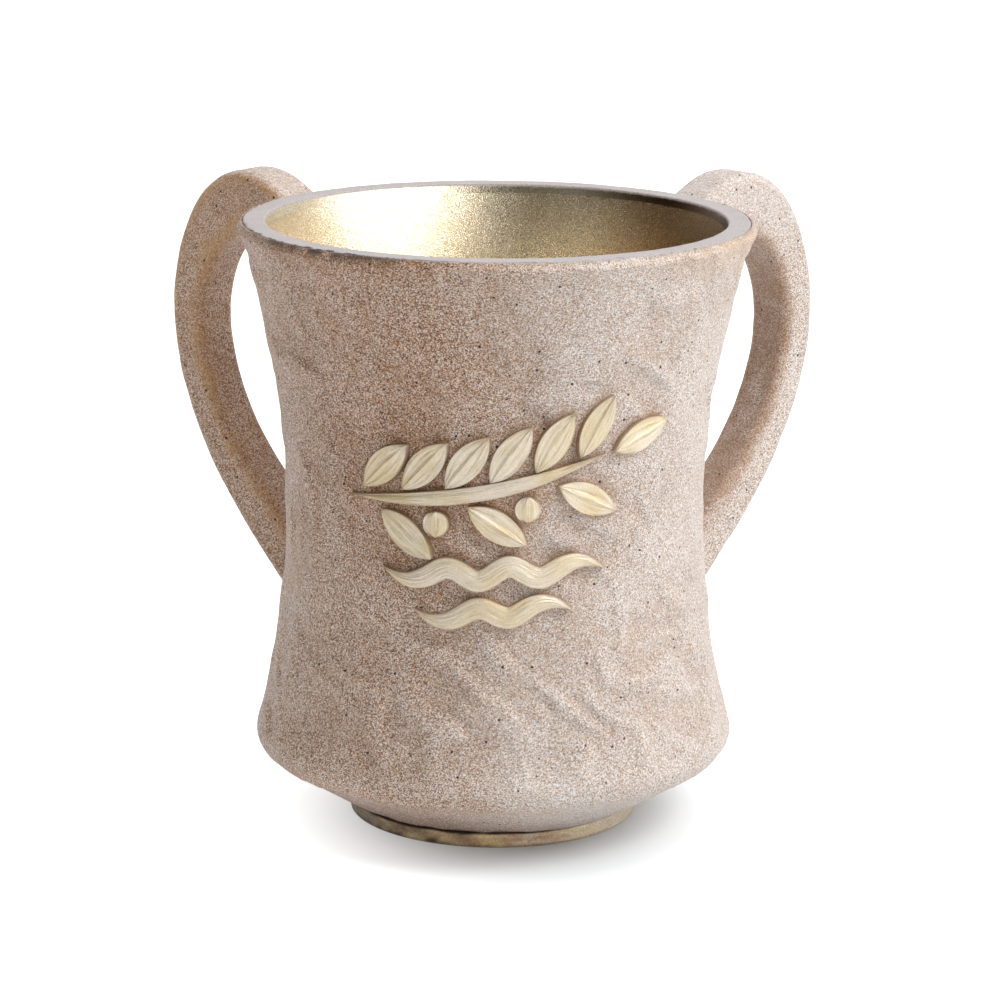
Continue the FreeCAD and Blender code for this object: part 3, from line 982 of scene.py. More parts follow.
@dataclass
class Relief:
    """A leafy branch over two ribbons of water, standing on the wall. Millimetres."""

    wall: Wall
    height: float = 1.8
    sunk: float = 0.9
    bevel: float = 0.35
    turn: float = 6.0
    stem_height: float = 80.4
    stem_rise: float = 5.0
    stem_lift: float = 3.0
    stem_width: float = 3.2
    stem_half_angle: float = 35.5
    leaf_length: float = 14.5
    leaf_width: float = 6.2
    leaf_gap: float = 2.2
    leaf_spread: float = 43.0
    olive_radius: float = 2.7
    olive_drop: float = 5.2
    point: float = 0.02
    brush_depth: float = 0.16
    brush_length: float = 7.0
    brush_often: float = 4.5
    wear_depth: float = 0.05
    wear_size: float = 1.9
    crown: float = 0.12
    stem_crown: float = 0.35
    olive_crown: float = 0.5
    wave_crown: float = 0.25
    leaf_rib: float = 0.3
    wave_pitch: float = 13.0
    wave_crest: float = 1.6
    wave_width: float = 4.4
    wave_turn: float = 5.0
    wave_heights: tuple[float, float] = (64.0, 55.8)
    half_waves: tuple[int, int] = (7, 5)
    upper_leaves: tuple = (-0.85, -0.53, -0.21, 0.11, 0.43, 0.75)
    lower_leaves: tuple = (-0.70, -0.05, 0.60)
    olives: tuple = (-0.28, 0.38)
    tip_leaf: float = 1.02
    outlines: list[np.ndarray] = field(default_factory=list)

    def stem_at(self, share: float) -> float:
        """Height of the stem's middle at a share of its half length."""
        return self.stem_height + share * self.stem_rise + share ** 2 * self.stem_lift

    def angle_at(self, share: float) -> float:
        """Turn, in degrees, of what springs from the stem at a share."""
        return share * self.stem_half_angle - self.turn

    def section(self, halves: np.ndarray, crown: float,
                ridge: float) -> tuple[np.ndarray, np.ndarray]:
        """Draw the flat-topped section at every point of a stroke.

        Args:
            halves: Half of the stroke's width at each point.
            crown: How much the top is crowned.
            ridge: How far a middle rib stands above the rest of the top.

        Returns:
            How far across each section point lies, from -1 to 1, and how far off the wall:
            up one side and its bevel, over the top and down the other.
        """
        top = np.linspace(-1, 1, 21)
        one = np.ones((len(halves), 1))
        bevel = np.minimum(self.bevel / halves, 0.6)[:, None]
        across = np.concatenate([-one, -one, -one, top * (1 - bevel), one, one, one], axis=1)
        dome = self.height - crown * top ** 2
        rib = ridge * (hump(top, 0, 0.16) - 0.35 * hump(np.abs(top), 0.34, 0.14) - 1)
        edge = [-self.sunk * one, 0 * one, (self.height - self.bevel) * one]
        full = (halves / halves.max())[:, None]
        return across, np.concatenate([*edge, dome + rib * full, *edge[::-1]], axis=1)

    def stroke(self, line: np.ndarray, halves: np.ndarray, angle: float,
               crown: float | None = None, ridge: float = 0.0) -> Surface:
        """Carry the section along a line drawn in front of the wall.

        Args:
            line: Middle line as across and up, before the turn.
            halves: Half of the width at each point of the line.
            angle: The turn about the axis in degrees.
            crown: How much the top is crowned, where that is not the usual amount.
            ridge: How far a middle rib stands above the rest of the top.

        Returns:
            The closed stroke. A section point p across and h out stands at X = line +
            p * half-width * side, y = -sqrt((wall(Z) + h)^2 - X^2).
        """
        across, out = self.section(halves, self.crown if crown is None else crown, ridge)
        way = unit(np.gradient(line, axis=0))
        side = np.stack([way[:, 1], -way[:, 0]], axis=1)
        place = line[:, None] + across[..., None] * halves[:, None, None] * side[:, None]
        x, z = place[..., 0], place[..., 1]
        order = len(self.outlines)
        length = np.broadcast_to(run_of(line)[:, None], x.shape)
        worn = np.stack([x / self.wear_size, z / self.wear_size, x * 0 + angle], axis=-1)
        worn = self.wear_depth * (1 + SpaceNoise(Seed.RELIEF_WEAR).layers(worn, 3))
        brushed = np.stack([length / self.brush_length, across * self.brush_often,
                            x * 0 + 3.7 * order], axis=-1)
        brushed = np.maximum(0.35 + SpaceNoise(Seed.BRUSH).layers(brushed, 2), 0)
        brushed = self.brush_depth * brushed
        out = np.where(out > self.height / 2, out - worn - brushed, out)
        y = -np.sqrt((self.wall.radius(z) + out) ** 2 - x ** 2)
        turn = math.radians(angle)
        points = np.stack([
            x * math.cos(turn) - y * math.sin(turn),
            x * math.sin(turn) + y * math.cos(turn),
            z,
        ], axis=-1)
        made = Surface(points[:, ::-1], wraps=False)
        made.strokes = np.stack([length + 7.0 * order, across], axis=-1)[:, ::-1]
        walls = np.zeros(across.shape[1])
        walls[[0, 1, -2, -1]] = 1
        walls[[2, -3]] = 0.35
        made.marks["side"] = np.broadcast_to(walls, across.shape)
        middle = points[:, across.shape[1] // 2]
        self.outlines.append(np.concatenate([middle, halves[:, None]], axis=1))
        return made

    def leaf(self, share: float, side: int) -> tuple[np.ndarray, np.ndarray]:
        """Lay out a leaf.

        Args:
            share: Where it springs from the stem.
            side: One above the stem, minus one below it, zero at its tip.

        Returns:
            Its middle line and half-widths: between two arcs of radius
            (l^2 + w^2) / 4w that cross at both ends.
        """
        rise = self.stem_rise + 2 * share * self.stem_lift
        half_length = self.wall.waist_radius * math.radians(self.stem_half_angle)
        slope = math.degrees(math.atan(rise / half_length))
        lean = math.radians(90 - slope - side * self.leaf_spread)
        run = np.linspace(0, self.leaf_length, 61)
        arc = arc_radius(self.leaf_width / 2, self.leaf_length / 2)
        off = run - self.leaf_length / 2
        halves = np.sqrt(arc ** 2 - off ** 2) - (arc - self.leaf_width / 2)
        base = self.stem_at(share) + side * self.leaf_gap
        line = np.stack([run * math.sin(lean), base + run * math.cos(lean)], axis=1)
        return line, np.maximum(halves, self.point)

    def ribbon(self, upper: np.ndarray, under: np.ndarray) -> tuple[np.ndarray, np.ndarray]:
        """Lay out a ribbon between two splines that share both ends.

        Args:
            upper: Control points of the upper edge.
            under: Control points of the lower edge.

        Returns:
            Its middle line and half-widths.
        """
        count = 161
        over = spline(upper, count)
        below = spline(under, count)
        halves = np.linalg.norm(over - below, axis=1) / 2
        return (over + below) / 2, np.maximum(halves, self.point)

    def stem(self) -> tuple[np.ndarray, np.ndarray]:
        """Lay out the stem through five stations, pointed at both ends.

        Returns:
            Its middle line and half-widths.
        """
        shares = np.array([-1.0, -0.5, 0.0, 0.5, 1.0])
        across = self.wall.waist_radius * np.sin(np.radians(shares * self.stem_half_angle))
        middle = np.stack([across, [self.stem_at(share) for share in shares]], axis=1)
        edge = np.array([[0, 0]] + [[0, self.stem_width / 2]] * 3 + [[0, 0]])
        return self.ribbon(middle + edge, middle - edge)

    def wave(self, height: float, half_waves: int) -> tuple[np.ndarray, np.ndarray]:
        """Lay out a ribbon of water.

        Args:
            height: Its height above the table.
            half_waves: How many half waves it has.

        Returns:
            Its middle line and half-widths.
        """
        index = np.arange(half_waves + 1)
        across = (index - half_waves / 2) / 2 * self.wave_pitch
        inner = (index > 0) & (index < half_waves)
        swing = np.where(inner, 3 * self.wave_crest * (-1.0) ** index, 0)
        middle = np.stack([across, height + swing], axis=1)
        edge = np.stack([across * 0, inner * self.wave_width / 2], axis=1)
        return self.ribbon(middle + edge, middle - edge)

    def olive(self, share: float) -> tuple[np.ndarray, np.ndarray]:
        """Lay out a round olive.

        Args:
            share: The share of the stem's half length that it hangs from.

        Returns:
            Its upright middle line and half-widths, r sin a at the height -r cos a.
        """
        turn = np.linspace(0, math.pi, 49)
        up = -self.olive_radius * np.cos(turn)
        middle = self.stem_at(share) - self.olive_drop
        line = np.stack([up * 0, middle + up], axis=1)
        return line, np.maximum(self.olive_radius * np.sin(turn), self.point)

    def pieces(self) -> list[tuple[str, Surface]]:
        """Build every stroke.

        Returns:
            Node names and their strokes.
        """
        made = [("relief_stem", self.stroke(*self.stem(), self.angle_at(0), self.stem_crown))]
        leaves = [(share, 1) for share in self.upper_leaves]
        leaves += [(share, -1) for share in self.lower_leaves] + [(self.tip_leaf, 0)]
        for index, (share, side) in enumerate(leaves, 1):
            leaf = self.stroke(*self.leaf(share, side), self.angle_at(share),
                               ridge=self.leaf_rib)
            made.append((f"relief_leaf_{index:02d}", leaf))
        for index, share in enumerate(self.olives, 1):
            olive = self.stroke(*self.olive(share), self.angle_at(share), self.olive_crown)
            made.append((f"relief_olive_{index:02d}", olive))
        for name, height, count in zip(("upper", "lower"), self.wave_heights, self.half_waves):
            wave = self.stroke(*self.wave(height, count), self.wave_turn - self.turn,
                               self.wave_crown)
            made.append((f"relief_wave_{name}", wave))
        return made


@dataclass
class Casting:
    """The stone body: underside, rounded belly, waisted wall and bevelled lip. Millimetres."""

    wall: Wall
    columns: int = 480
    wall_steps: int = 136
    underside_steps: int = 34
    foot_radius: float = 31.6
    foot_height: float = 3.2
    groove: float = 0.45
    belly_round: float = 5.0
    underside_arc: float = 180.0
    lip: tuple[float, float] = (55.6, 128.3)
    lip_round: float = 0.9
    rebate: tuple[float, float] = (54.1, 128.0)
    top: float = 129.8
    socket: tuple[float, float] = (20.1, 5.3)
    cavity_radius: float = 40.95
    cavity_mouth: float = 50.65
    cavity_floor: float = 10.45
    cavity_flat: float = 27.4
    pinhole: float = 0.6
    swell_depth: float = 0.27
    dent_depth: float = 0.36
    stroke_depth: float = 1.26
    deepest: float = 1.0
    proud: float = 0.45

    def underside(self) -> np.ndarray:
        """Sample the underside's arc from beside the foot to the belly.

        Returns:
            Radii and heights on the arc of the given radius, which bulges downwards.
        """
        start = np.array([self.foot_radius, self.foot_height + self.groove])
        end = np.array([self.wall.belly_radius, self.wall.belly_height])
        half = (end - start) / 2
        length = np.linalg.norm(half)
        square = np.array([-half[1], half[0]]) / length
        centre = start + half + square * math.sqrt(self.underside_arc ** 2 - length ** 2)
        first = math.atan2(*(start - centre)[::-1])
        last = math.atan2(*(end - centre)[::-1])
        angle = np.linspace(first, last, self.underside_steps)
        return centre + self.underside_arc * np.stack([np.cos(angle), np.sin(angle)], axis=1)

    def profile(self) -> tuple[np.ndarray, int, int]:
        """Draw the closed section from the axis, round the outside and back inside.

        Returns:
            Radii and heights, and the first and last row of the outside.
        """
        heights = np.linspace(self.wall.belly_height, self.wall.neck_height, self.wall_steps)
        wall = np.stack([self.wall.radius(heights), heights], axis=1)
        outside = round_corner(self.underside(), wall, self.belly_round)
        lip = np.linspace([self.wall.neck_radius, self.wall.neck_height], self.lip, 4)
        bevel = np.linspace(self.lip, [self.rebate[0] + 0.3, self.top], 6)
        outside = round_corner(np.concatenate([outside, lip[1:]]), bevel, self.lip_round)
        share = np.linspace(1, 0, 20)
        flare = np.stack([
            self.cavity_radius + (self.cavity_mouth - self.cavity_radius) * share ** 2,
            self.wall.waist_height + (self.rebate[1] - self.wall.waist_height) * share,
        ], axis=1)
        hollow = self.cavity_radius - self.cavity_flat
        floor = quarter_arc((self.cavity_flat, self.cavity_floor + hollow), hollow, 0, -1, 10)
        seat = np.array([
            [self.pinhole, self.socket[1]], [self.socket[0], self.socket[1]],
            [self.socket[0], self.foot_height], [self.foot_radius - 1.5, self.foot_height],
            [self.foot_radius - 0.9, self.foot_height + self.groove * 0.5],
        ])
        inside = np.concatenate([
            [[self.rebate[0], self.top], [self.rebate[0], self.rebate[1]]],
            flare, floor, [[self.pinhole, self.cavity_floor]],
        ])
        rows = np.concatenate([seat, outside, inside])
        return rows, len(seat), len(seat) + len(outside)

    def surface(self, outlines: list[np.ndarray]) -> Surface:
        """Shape the casting, with the flowing ripples of its skin.

        Args:
            outlines: Points on the relief's strokes with their half-widths.

        Returns:
            The closed body with its marks.
        """
        profile, first, last = self.profile()
        points = turned(profile, self.columns)
        slope = unit(np.gradient(profile, axis=0))
        out = turned(np.stack([slope[:, 1], -slope[:, 0]], axis=1), self.columns)
        rows = np.arange(len(profile))
        shown = smooth_step(rows, first - 1, first + 6) * (1 - smooth_step(rows, last - 6, last))
        points = points - out * (self.ripples(points) * shown[:, None])[..., None]
        outside = (rows >= first) & (rows < last)
        points[..., 2] += outside[:, None] * self.seam(points)
        made = Surface(points, wraps=False)
        made.marks = self.marks(points, np.concatenate(outlines))
        return made

    def seam(self, points: np.ndarray) -> np.ndarray:
        """Work out how far the underside's edge lifts off the plinth.

        Args:
            points: Places on the casting.

        Returns:
            Heights: uneven where the seam opens, and down on the plinth at the right.
        """
        turn, _, z = around(points)
        edge = 1 - smooth_step(z, self.foot_height + self.groove, 6.0)
        closed = smooth_step(np.sin(turn), 0.0, 0.7)
        wavy = SpaceNoise(Seed.SEAM).layers(points / 5, 3)
        return edge * (np.maximum(0.35 * wavy, -0.12) * (1 - closed) - 0.36 * closed)

    def ripples(self, points: np.ndarray) -> np.ndarray:
        """Work out how far the skin dips at each point.

        Args:
            points: Places on the smooth casting.

        Returns:
            Depths below the smooth casting, less than nothing on a crest: the strokes over
            broad swells and shallow dents, a neck under the lip and a ridge below the belly.
        """
        crests, strength = self.strokes(points)
        z = points[..., 2]
        swell = SpaceNoise(Seed.SWELL).layers(points / 17, 2)
        dents = np.clip(SpaceNoise(Seed.DENTS).at(points / 7.5), 0.25, 1) - 0.25
        rough = SpaceNoise(Seed.NECK).layers(points / 4, 3)
        depth = self.swell_depth * swell + self.dent_depth * dents
        depth -= self.stroke_depth * (crests - 0.42) * strength
        stand = self.proud * (1 - smooth_step(z, 98, 116))
        neck = 0.36 * hump(z + 0.8 * rough, 122.2, 1.7) * (1 + 0.5 * rough)
        fold = self.wall.belly_height - 2.2
        ridge = 0.3 * hump(z + 0.7 * rough, fold, 1.0) * (1 + 0.6 * rough)
        return np.clip(depth, -stand, self.deepest) + neck - ridge

    @staticmethod
    def strokes(points: np.ndarray) -> tuple[np.ndarray, np.ndarray]:
        """Draw the skin's flowing strokes, which run down to the right.

        Args:
            points: Places on the casting.

        Returns:
            The crests, from 0 between them to about 1, and how strong they are. A crest is
            the upper part of noise that is drawn out where the turn plus z / 60 is kept.
        """
        turn, radius, z = around(points)
        slant = turn + z / 60 + 0.24 * SpaceNoise(Seed.STROKE_DRIFT).layers(points / 24, 2)
        helix = np.stack([radius * np.sin(slant), -radius * np.cos(slant), z * 0.55], axis=-1)
        wander = SpaceNoise(Seed.STROKES).at(helix / 6.6)
        wander += 0.35 * SpaceNoise(Seed.FINE_STROKES).at(helix / 3.2)
        crests = smooth_step(wander, -0.25, 0.75)
        patches = SpaceNoise(Seed.STROKE_PATCHES).at(points / 17 + 5.3)
        patches = smooth_step(patches, -0.5, 0.25)
        low = 1 - smooth_step(z, 42, 72)
        middle = smooth_step(np.cos(turn - 0.05), 0.55, 0.9)
        belly = smooth_step(z, 17, 24)
        strength = np.maximum(low * middle * (0.5 + 0.5 * patches), 0.85 * patches)
        flank = 0.4 + 0.6 * smooth_step(np.abs(np.cos(turn)), 0.1, 0.5)
        return crests, belly * flank * (0.12 + 0.88 * strength)

    def marks(self, points: np.ndarray, outline: np.ndarray) -> dict[str, np.ndarray]:
        """Say where the skin is washed brown, ochred, calm and dark at its edges, and where
        light and shade are painted on it.

        Args:
            points: Places on the casting.
            outline: Middle points of the relief's strokes with their half-widths.

        Returns:
            The marks, from 0 to 1.
        """
        turn, _, z = around(points)
        rough = SpaceNoise(Seed.STAIN).layers(points / 5, 3)
        broad = SpaceNoise(Seed.CLOUDS).layers(points / 22, 2)
        crests, strength = self.strokes(points)
        left = hump(turn, -0.75, 0.45)
        # Painted shade: the left half, away from the key lamp, is warmed and deepened, less so
        # in a band above the belly.
        band = smooth_step(z, 13, 19) * (1 - smooth_step(z, 30, 90))
        warm_shade = smooth_step(np.cos(turn + 1.2 + 0.25 * band) + 0.12 * broad, 0.0, 0.75)
        # A brown wash lies in clouds, and the mark is darker in the hollows of the strokes,
        # round the relief and in the middle above it. It also paints shade on the upper part
        # of the shaded half and under the ring on the left.
        wash_and_shade = 0.05 * smooth_step(broad, -0.3, 0.8) + 0.46 * (1 - crests) * (strength - 0.12)
        wash_and_shade += 0.08 * warm_shade * smooth_step(z, 45, 105)
        wash_and_shade += 0.18 * hump(turn, 0, 0.4) * smooth_step(z, 60, 95)
        near = np.maximum(self.near_relief(points, outline), 0)
        wash_and_shade += 0.8 * np.exp(-near / 1.1) + 0.14 * np.exp(-near / 4)
        under_ring_shade = smooth_step(z + 0.5 * rough, 124.5, 128.5)
        wash_and_shade += left * under_ring_shade * (0.5 + 0.5 * rough) * 0.9
        warm_shade = warm_shade * (1 - 0.32 * band)
        # Ochre lies under the lip at the right and in a few blots.
        ochre_and_light = 0.5 * hump(turn, 1.2, 0.5) * smooth_step(z, 121, 127)
        ochre_and_light += 0.25 * smooth_step(rough + broad, 0.5, 1.4)
        # The grain is calm on the underside, and painted lit on the half facing the key lamp,
        # paler and calmer there.
        edge = self.wall.belly_height - 3.3
        calm_and_lit = 0.6 * (1 - smooth_step(z + 0.6 * rough, edge - 1.2, edge + 1.4))
        calm_and_lit = np.maximum(calm_and_lit, 0.45 * (1 - warm_shade))
        # Dark edges keep to the lip's edge and to the seam above the plinth, with painted shade
        # that is strongest on the left.
        dark_edge_and_shade = smooth_step(z + 0.5 * rough * left, self.top - 0.7 - 0.7 * left, self.top - 0.1)
        dark_edge_and_shade *= (0.25 + 0.75 * left) * smooth_step(rough, -0.6, 0.3)
        seam = self.foot_height + self.groove
        foot = 1 - smooth_step(z + 0.15 * rough, seam - 0.1, seam + 0.45)
        front_left = smooth_step(np.cos(turn + 0.6), 0.2, 0.9)
        dark_edge_and_shade = np.maximum(dark_edge_and_shade, foot * (0.15 + 0.85 * front_left))
        marks = {"wash_and_shade": wash_and_shade, "warm_shade": warm_shade, "ochre_and_light": ochre_and_light, "calm_and_lit": calm_and_lit, "dark_edge_and_shade": dark_edge_and_shade}
        return {name: np.clip(mark, 0, 1) for name, mark in marks.items()}

    @staticmethod
    def near_relief(points: np.ndarray, outline: np.ndarray) -> np.ndarray:
        """Measure how far each point is from the nearest stroke's edge.

        Args:
            points: Places on the casting.
            outline: Middle points of the strokes with their half-widths.

        Returns:
            Distances in millimetres, large where the relief is far away.
        """
        flat = points.reshape(-1, 3)
        gap = np.full(len(flat), 99.0)
        front = (flat > [-44, -np.inf, 40]) & (flat < [44, -20, 112])
        for part in np.array_split(np.flatnonzero(front.all(axis=1)), 24):
            way = np.linalg.norm(flat[part][:, None, :] - outline[None, :, :3], axis=2)
            gap[part] = (way - outline[None, :, 3]).min(axis=1)
        return gap.reshape(points.shape[:-1])


@dataclass
class Handle:
    """A handle whose side view lies between two splines, and whose section is a rounded box.

    The splines' control points are shares of the stand, beyond the waist, and of the rim's
    height. The sizes are in millimetres.
    """

    wall: Wall
    azimuth: float
    stand: float = 45.9
    rim_height: float = 130.0
    width: float = 12.2
    corner: float = 2.6
    outer: tuple = (
        (0.09, 0.915), (0.22, 1.017), (0.72, 1.080), (1.09, 0.813),
        (0.88, 0.554), (0.45, 0.372), (0.09, 0.252), (-0.07, 0.195),
    )
    inner: tuple = (
        (0.04, 0.871), (0.15, 0.919), (0.61, 0.956), (0.87, 0.778),
        (0.68, 0.579), (0.32, 0.456), (0.06, 0.365), (-0.07, 0.326),
    )
    stations: int = 320
    samples: int = 900
    smoothing: int = 101
    flat_fall: float = 0.2
    root_flare: float = 1.0
    skin_swell: float = 0.14

    def edge(self, shares: tuple) -> np.ndarray:
        """Sample one edge of the side view from its control points.

        Args:
            shares: The edge's control points.

        Returns:
            Distance from the axis and height of each sample.
        """
        poles = np.array(shares) * [self.stand, self.rim_height]
        poles[:, 0] += self.wall.waist_radius
        return spread(spline(poles, self.samples), self.samples)

    def section(self, thick: np.ndarray) -> tuple[np.ndarray, np.ndarray]:
        """Draw the rounded section at every station.

        Args:
            thick: The handle's thickness in its own plane.

        Returns:
            How far each point stands outwards from the middle, and how far sideways. Each
            corner is a quarter circle, and each flat falls by 0.2 towards its corners.
        """
        flat = np.linspace(-1, 1, 9)[1:-1]
        bow = -self.flat_fall * flat ** 2
        thick = thick[:, None]
        reach = thick / 2 - self.corner
        side = self.width / 2 - self.corner
        columns = []
        for turn, (sign_out, sign_side) in enumerate(((1, 1), (-1, 1), (-1, -1), (1, -1))):
            arc = quarter_arc((0, sign_side * side), self.corner, turn, turn + 1, 7)
            columns.append((sign_out * reach + arc[:, 0], arc[:, 1]))
            if sign_out == sign_side:
                columns.append((-sign_out * flat * reach, sign_side * (self.width / 2 + bow)))
            else:
                columns.append((sign_out * (thick / 2 + bow), -sign_side * flat * side))
        pairs = [np.broadcast_arrays(*pair) for pair in columns]
        out, sideways = (np.concatenate(part, axis=1) for part in zip(*pairs))
        return out, sideways

    def ribs(self) -> tuple[np.ndarray, np.ndarray]:
        """Join every station of the outer edge to the inner edge, straight across.

        Returns:
            Both ends of every rib. A rib runs to the nearest inner sample, and at the
            handle's ends to the one at the same share, smoothed along the handle.
        """
        outer = self.edge(self.outer)
        inner = self.edge(self.inner)
        away = np.linalg.norm(outer[:, None] - inner[None], axis=2)
        match = np.maximum.accumulate(np.argmin(away, axis=1)).astype(float)
        even = np.arange(self.samples, dtype=float)
        ends = smooth_step(np.abs(even / even[-1] - 0.5), 0.36, 0.5)
        match = match * (1 - ends) + even * ends
        window = np.hanning(self.smoothing)
        padded = np.pad(match, self.smoothing // 2, mode="reflect", reflect_type="odd")
        match = np.convolve(padded, window / window.sum(), mode="valid")
        pick = np.linspace(0, even[-1], self.stations)
        match = np.clip(np.interp(pick, even, match), 0, even[-1])
        return along(pick, even, outer), along(match, even, inner)

    def surface(self, mirror: bool) -> Surface:
        """Shape the handle, stain it and paint its light and shade.

        Args:
            mirror: Whether the front flank is on the other side, as on the right handle.

        Returns:
            The closed handle with its marks. Its skin flares out by exp(-(gap / 1.5)^1.2)
            where it nears the wall, and sinks a little in slow swells.
        """
        over, below = self.ribs()
        middle = (over + below) / 2
        thick = np.linalg.norm(over - below, axis=1)
        out, side = self.section(thick)
        plane = middle[:, None] + out[..., None] * unit(over - below)[:, None]
        turn = math.radians(self.azimuth)
        forth = np.array([math.cos(turn), math.sin(turn)])
        sideways = np.array([-math.sin(turn), math.cos(turn)])
        flat = plane[..., :1] * forth + side[..., None] * sideways
        points = np.concatenate([flat, plane[..., 1:]], axis=-1)
        centre = np.concatenate([middle[:, :1] * forth, middle[:, 1:]], axis=1)[:, None]
        _, radius, height = around(points)
        gap = np.maximum(radius - self.wall.radius(height), 0)
        flare = self.root_flare * np.exp(-(gap / 1.5) ** 1.2)
        swell = SpaceNoise(Seed.HANDLE_SWELL).layers(points / 9 + self.azimuth, 3)
        swell = self.skin_swell * np.maximum(0.5 + swell, 0)
        points = points + unit(points - centre) * (flare - swell)[..., None]
        made = Surface(points, wraps=False)
        front = side if mirror else -side
        made.marks = self.marks(points, out / (thick / 2)[:, None], -front / (self.width / 2))
        return made

    def marks(self, points: np.ndarray, out: np.ndarray,
              front: np.ndarray) -> dict[str, np.ndarray]:
        """Say where the handle is stained and where light and shade are painted on it.

        Args:
            points: Places on the handle.
            out: From -1 on its inner face to 1 on its outer face.
            front: From -1 on its back flank to 1 on its front flank.

        Returns:
            The marks: the wash paints shade on the inner face, and the ochre stains its front
                edge
            and paints a highlight along the crown. The left handle, which is in the shade, gets
            painted shade: it is warmer, deeper and browner; the right one and the tops are
                painted lit
            and calm.
        """
        rough = SpaceNoise(Seed.HANDLE_STAIN).layers(points / 6, 3)
        ridge = hump(out, -0.75, 0.35) * smooth_step(front, 0.2, 1.0)
        ochre_and_light = ridge * (0.6 + 0.5 * rough) + 0.1 * smooth_step(rough, 0, 1)
        inner = smooth_step(-out, 0.2, 0.95)
        shaded = float(self.azimuth > 90)
        # The wash paints shade on the inner face, more strongly on the right handle.
        wash_and_shade = inner * (0.4 + 0.3 * rough) * (2.5 - 1.9 * shaded)
        wash_and_shade += 0.1 * shaded * smooth_step(rough, -0.2, 0.8)
        top = smooth_step(points[..., 2], 112, 130)
        face = smooth_step(out, 0.5, 1.0) * (1 - smooth_step(front, 0.75, 1.0))
        # Painted shade on the left handle: warmed and deepened, least on its top face, and its
        # top is darkened by the wash.
        warm_shade = (0.05 + 0.9 * shaded) * (1 - 0.8 * top * face)
        wash_and_shade += 0.2 * shaded * top
        high = smooth_step(points[..., 2], 85, 125)
        crown = hump(out, 0.85, 0.3) * smooth_step(front, 0.6, 0.95)
        flank_shade_and_crown_highlight = high * (0.2 * smooth_step(front, 0.0, 0.8) + 0.8 * crown) + 0.1
        # On the left handle the ochre also paints shade on the upper flank and a highlight along
        # the crown.
        ochre_and_light = ochre_and_light * (0.05 + 1.15 * shaded) + shaded * (1 - face) * flank_shade_and_crown_highlight
        # Painted light: the tops and the right handle are calmer and paler.
        calm_and_lit = 0.4 * top + 0.4 * (1 - warm_shade)
        marks = {"wash_and_shade": wash_and_shade, "warm_shade": warm_shade, "ochre_and_light": ochre_and_light, "calm_and_lit": calm_and_lit,
                 "dark_edge_and_shade": np.zeros(out.shape)}
        return {name: np.clip(mark, 0, 1) for name, mark in marks.items()}


@dataclass
class MouthRing:
    """The smooth ring round the mouth, with an uneven outer edge. Millimetres."""

    radius: float = 54.0
    width: float = 5.5
    bottom: float = 128.0
    top: float = 130.0
    corner: float = 0.4
    lean: float = 0.6
    wear_depth: float = 0.18
    chip_depth: float = 0.45
    dip_depth: float = 0.05
    columns: int = 1400

    @property
    def inside(self) -> float:
        """Radius of the brim's inner edge, from which the inner face leans in."""
        return self.radius - self.width + self.lean

    def profile(self) -> np.ndarray:
        """Draw the ring's section.

        Returns:
            Radii and heights of a box with two round corners and a leaning inner face.
        """
        shoulder = self.top - self.corner
        outer = quarter_arc((self.radius - self.corner, shoulder), self.corner, 0, 1, 6)
        inner = quarter_arc((self.inside + self.corner, shoulder), self.corner, 1, 2, 6)
        brim = self.radius - self.corner - 1.2
        across = np.concatenate([np.linspace(self.radius - self.corner, brim, 7)[1:],
                                 np.linspace(brim, self.inside + self.corner, 8)[1:-1]])
        flat = np.stack([across, np.full(len(across), self.top)], axis=1)
        mouth = [self.radius - self.width, self.bottom]
        face = np.linspace([self.inside, shoulder], mouth, 7)[1:]
        base = [[self.radius, self.bottom], [self.radius, self.bottom + 0.8]]
        return np.concatenate([outer, flat, inner, face, base])

    def surface(self) -> Surface:
        """Shape the ring.

        Returns:
            The closed ring with its marks. Its outer edge is cut back by noise and by a few
            small chips.
        """
        points = turned(self.profile(), self.columns)
        turn, radius, z = around(points)
        edge = smooth_step(radius, self.radius - 1.0, self.radius - 0.1)
        uneven = SpaceNoise(Seed.RING_EDGE).layers(points / 2.2, 3)
        chips = smooth_step(SpaceNoise(Seed.RING_CHIPS).at(points / 1.7), 0.35, 0.75)
        dip = self.dip_depth * (SpaceNoise(Seed.RING_DIP).layers(points / 6, 2) + 0.6)
        cut = edge * (self.wear_depth * np.maximum(uneven + 0.5, 0) + self.chip_depth * chips)
        points = pulled_in(points, cut)
        points[..., 2] -= np.maximum(dip * smooth_step(z, 129, 130), 0)
        made = Surface(points)
        # The dark edge on the ring's outer side and brim is partly painted shade, strongest on
        # the left.
        left = hump(turn, -0.8, 0.5)
        low = 1 - smooth_step(z, self.top - 1.0, self.top - 0.25)
        jagged = self.radius - 0.15 - 0.9 * np.maximum(uneven + 0.1, 0)
        brim_dark_edge_and_shade = smooth_step(radius - jagged, -0.05, 0.12)
        dark_edge_and_shade = np.maximum(edge * low * (0.35 + 0.65 * left), brim_dark_edge_and_shade * (0.15 + 0.85 * left))
        made.marks["dark_edge_and_shade"] = np.clip(dark_edge_and_shade, 0, 1)
        gilt = 1 - smooth_step(radius, self.inside + 0.1, self.inside + 0.4)
        gilt *= 1 - smooth_step(z + 0.12 * uneven, self.top - 0.7, self.top - 0.35)
        made.marks["gilt"] = gilt
        # Painted shade on the gilt inside the ring, at the right.
        made.marks["shade"] = smooth_step(np.sin(turn), 0.3, 0.85)
        return made


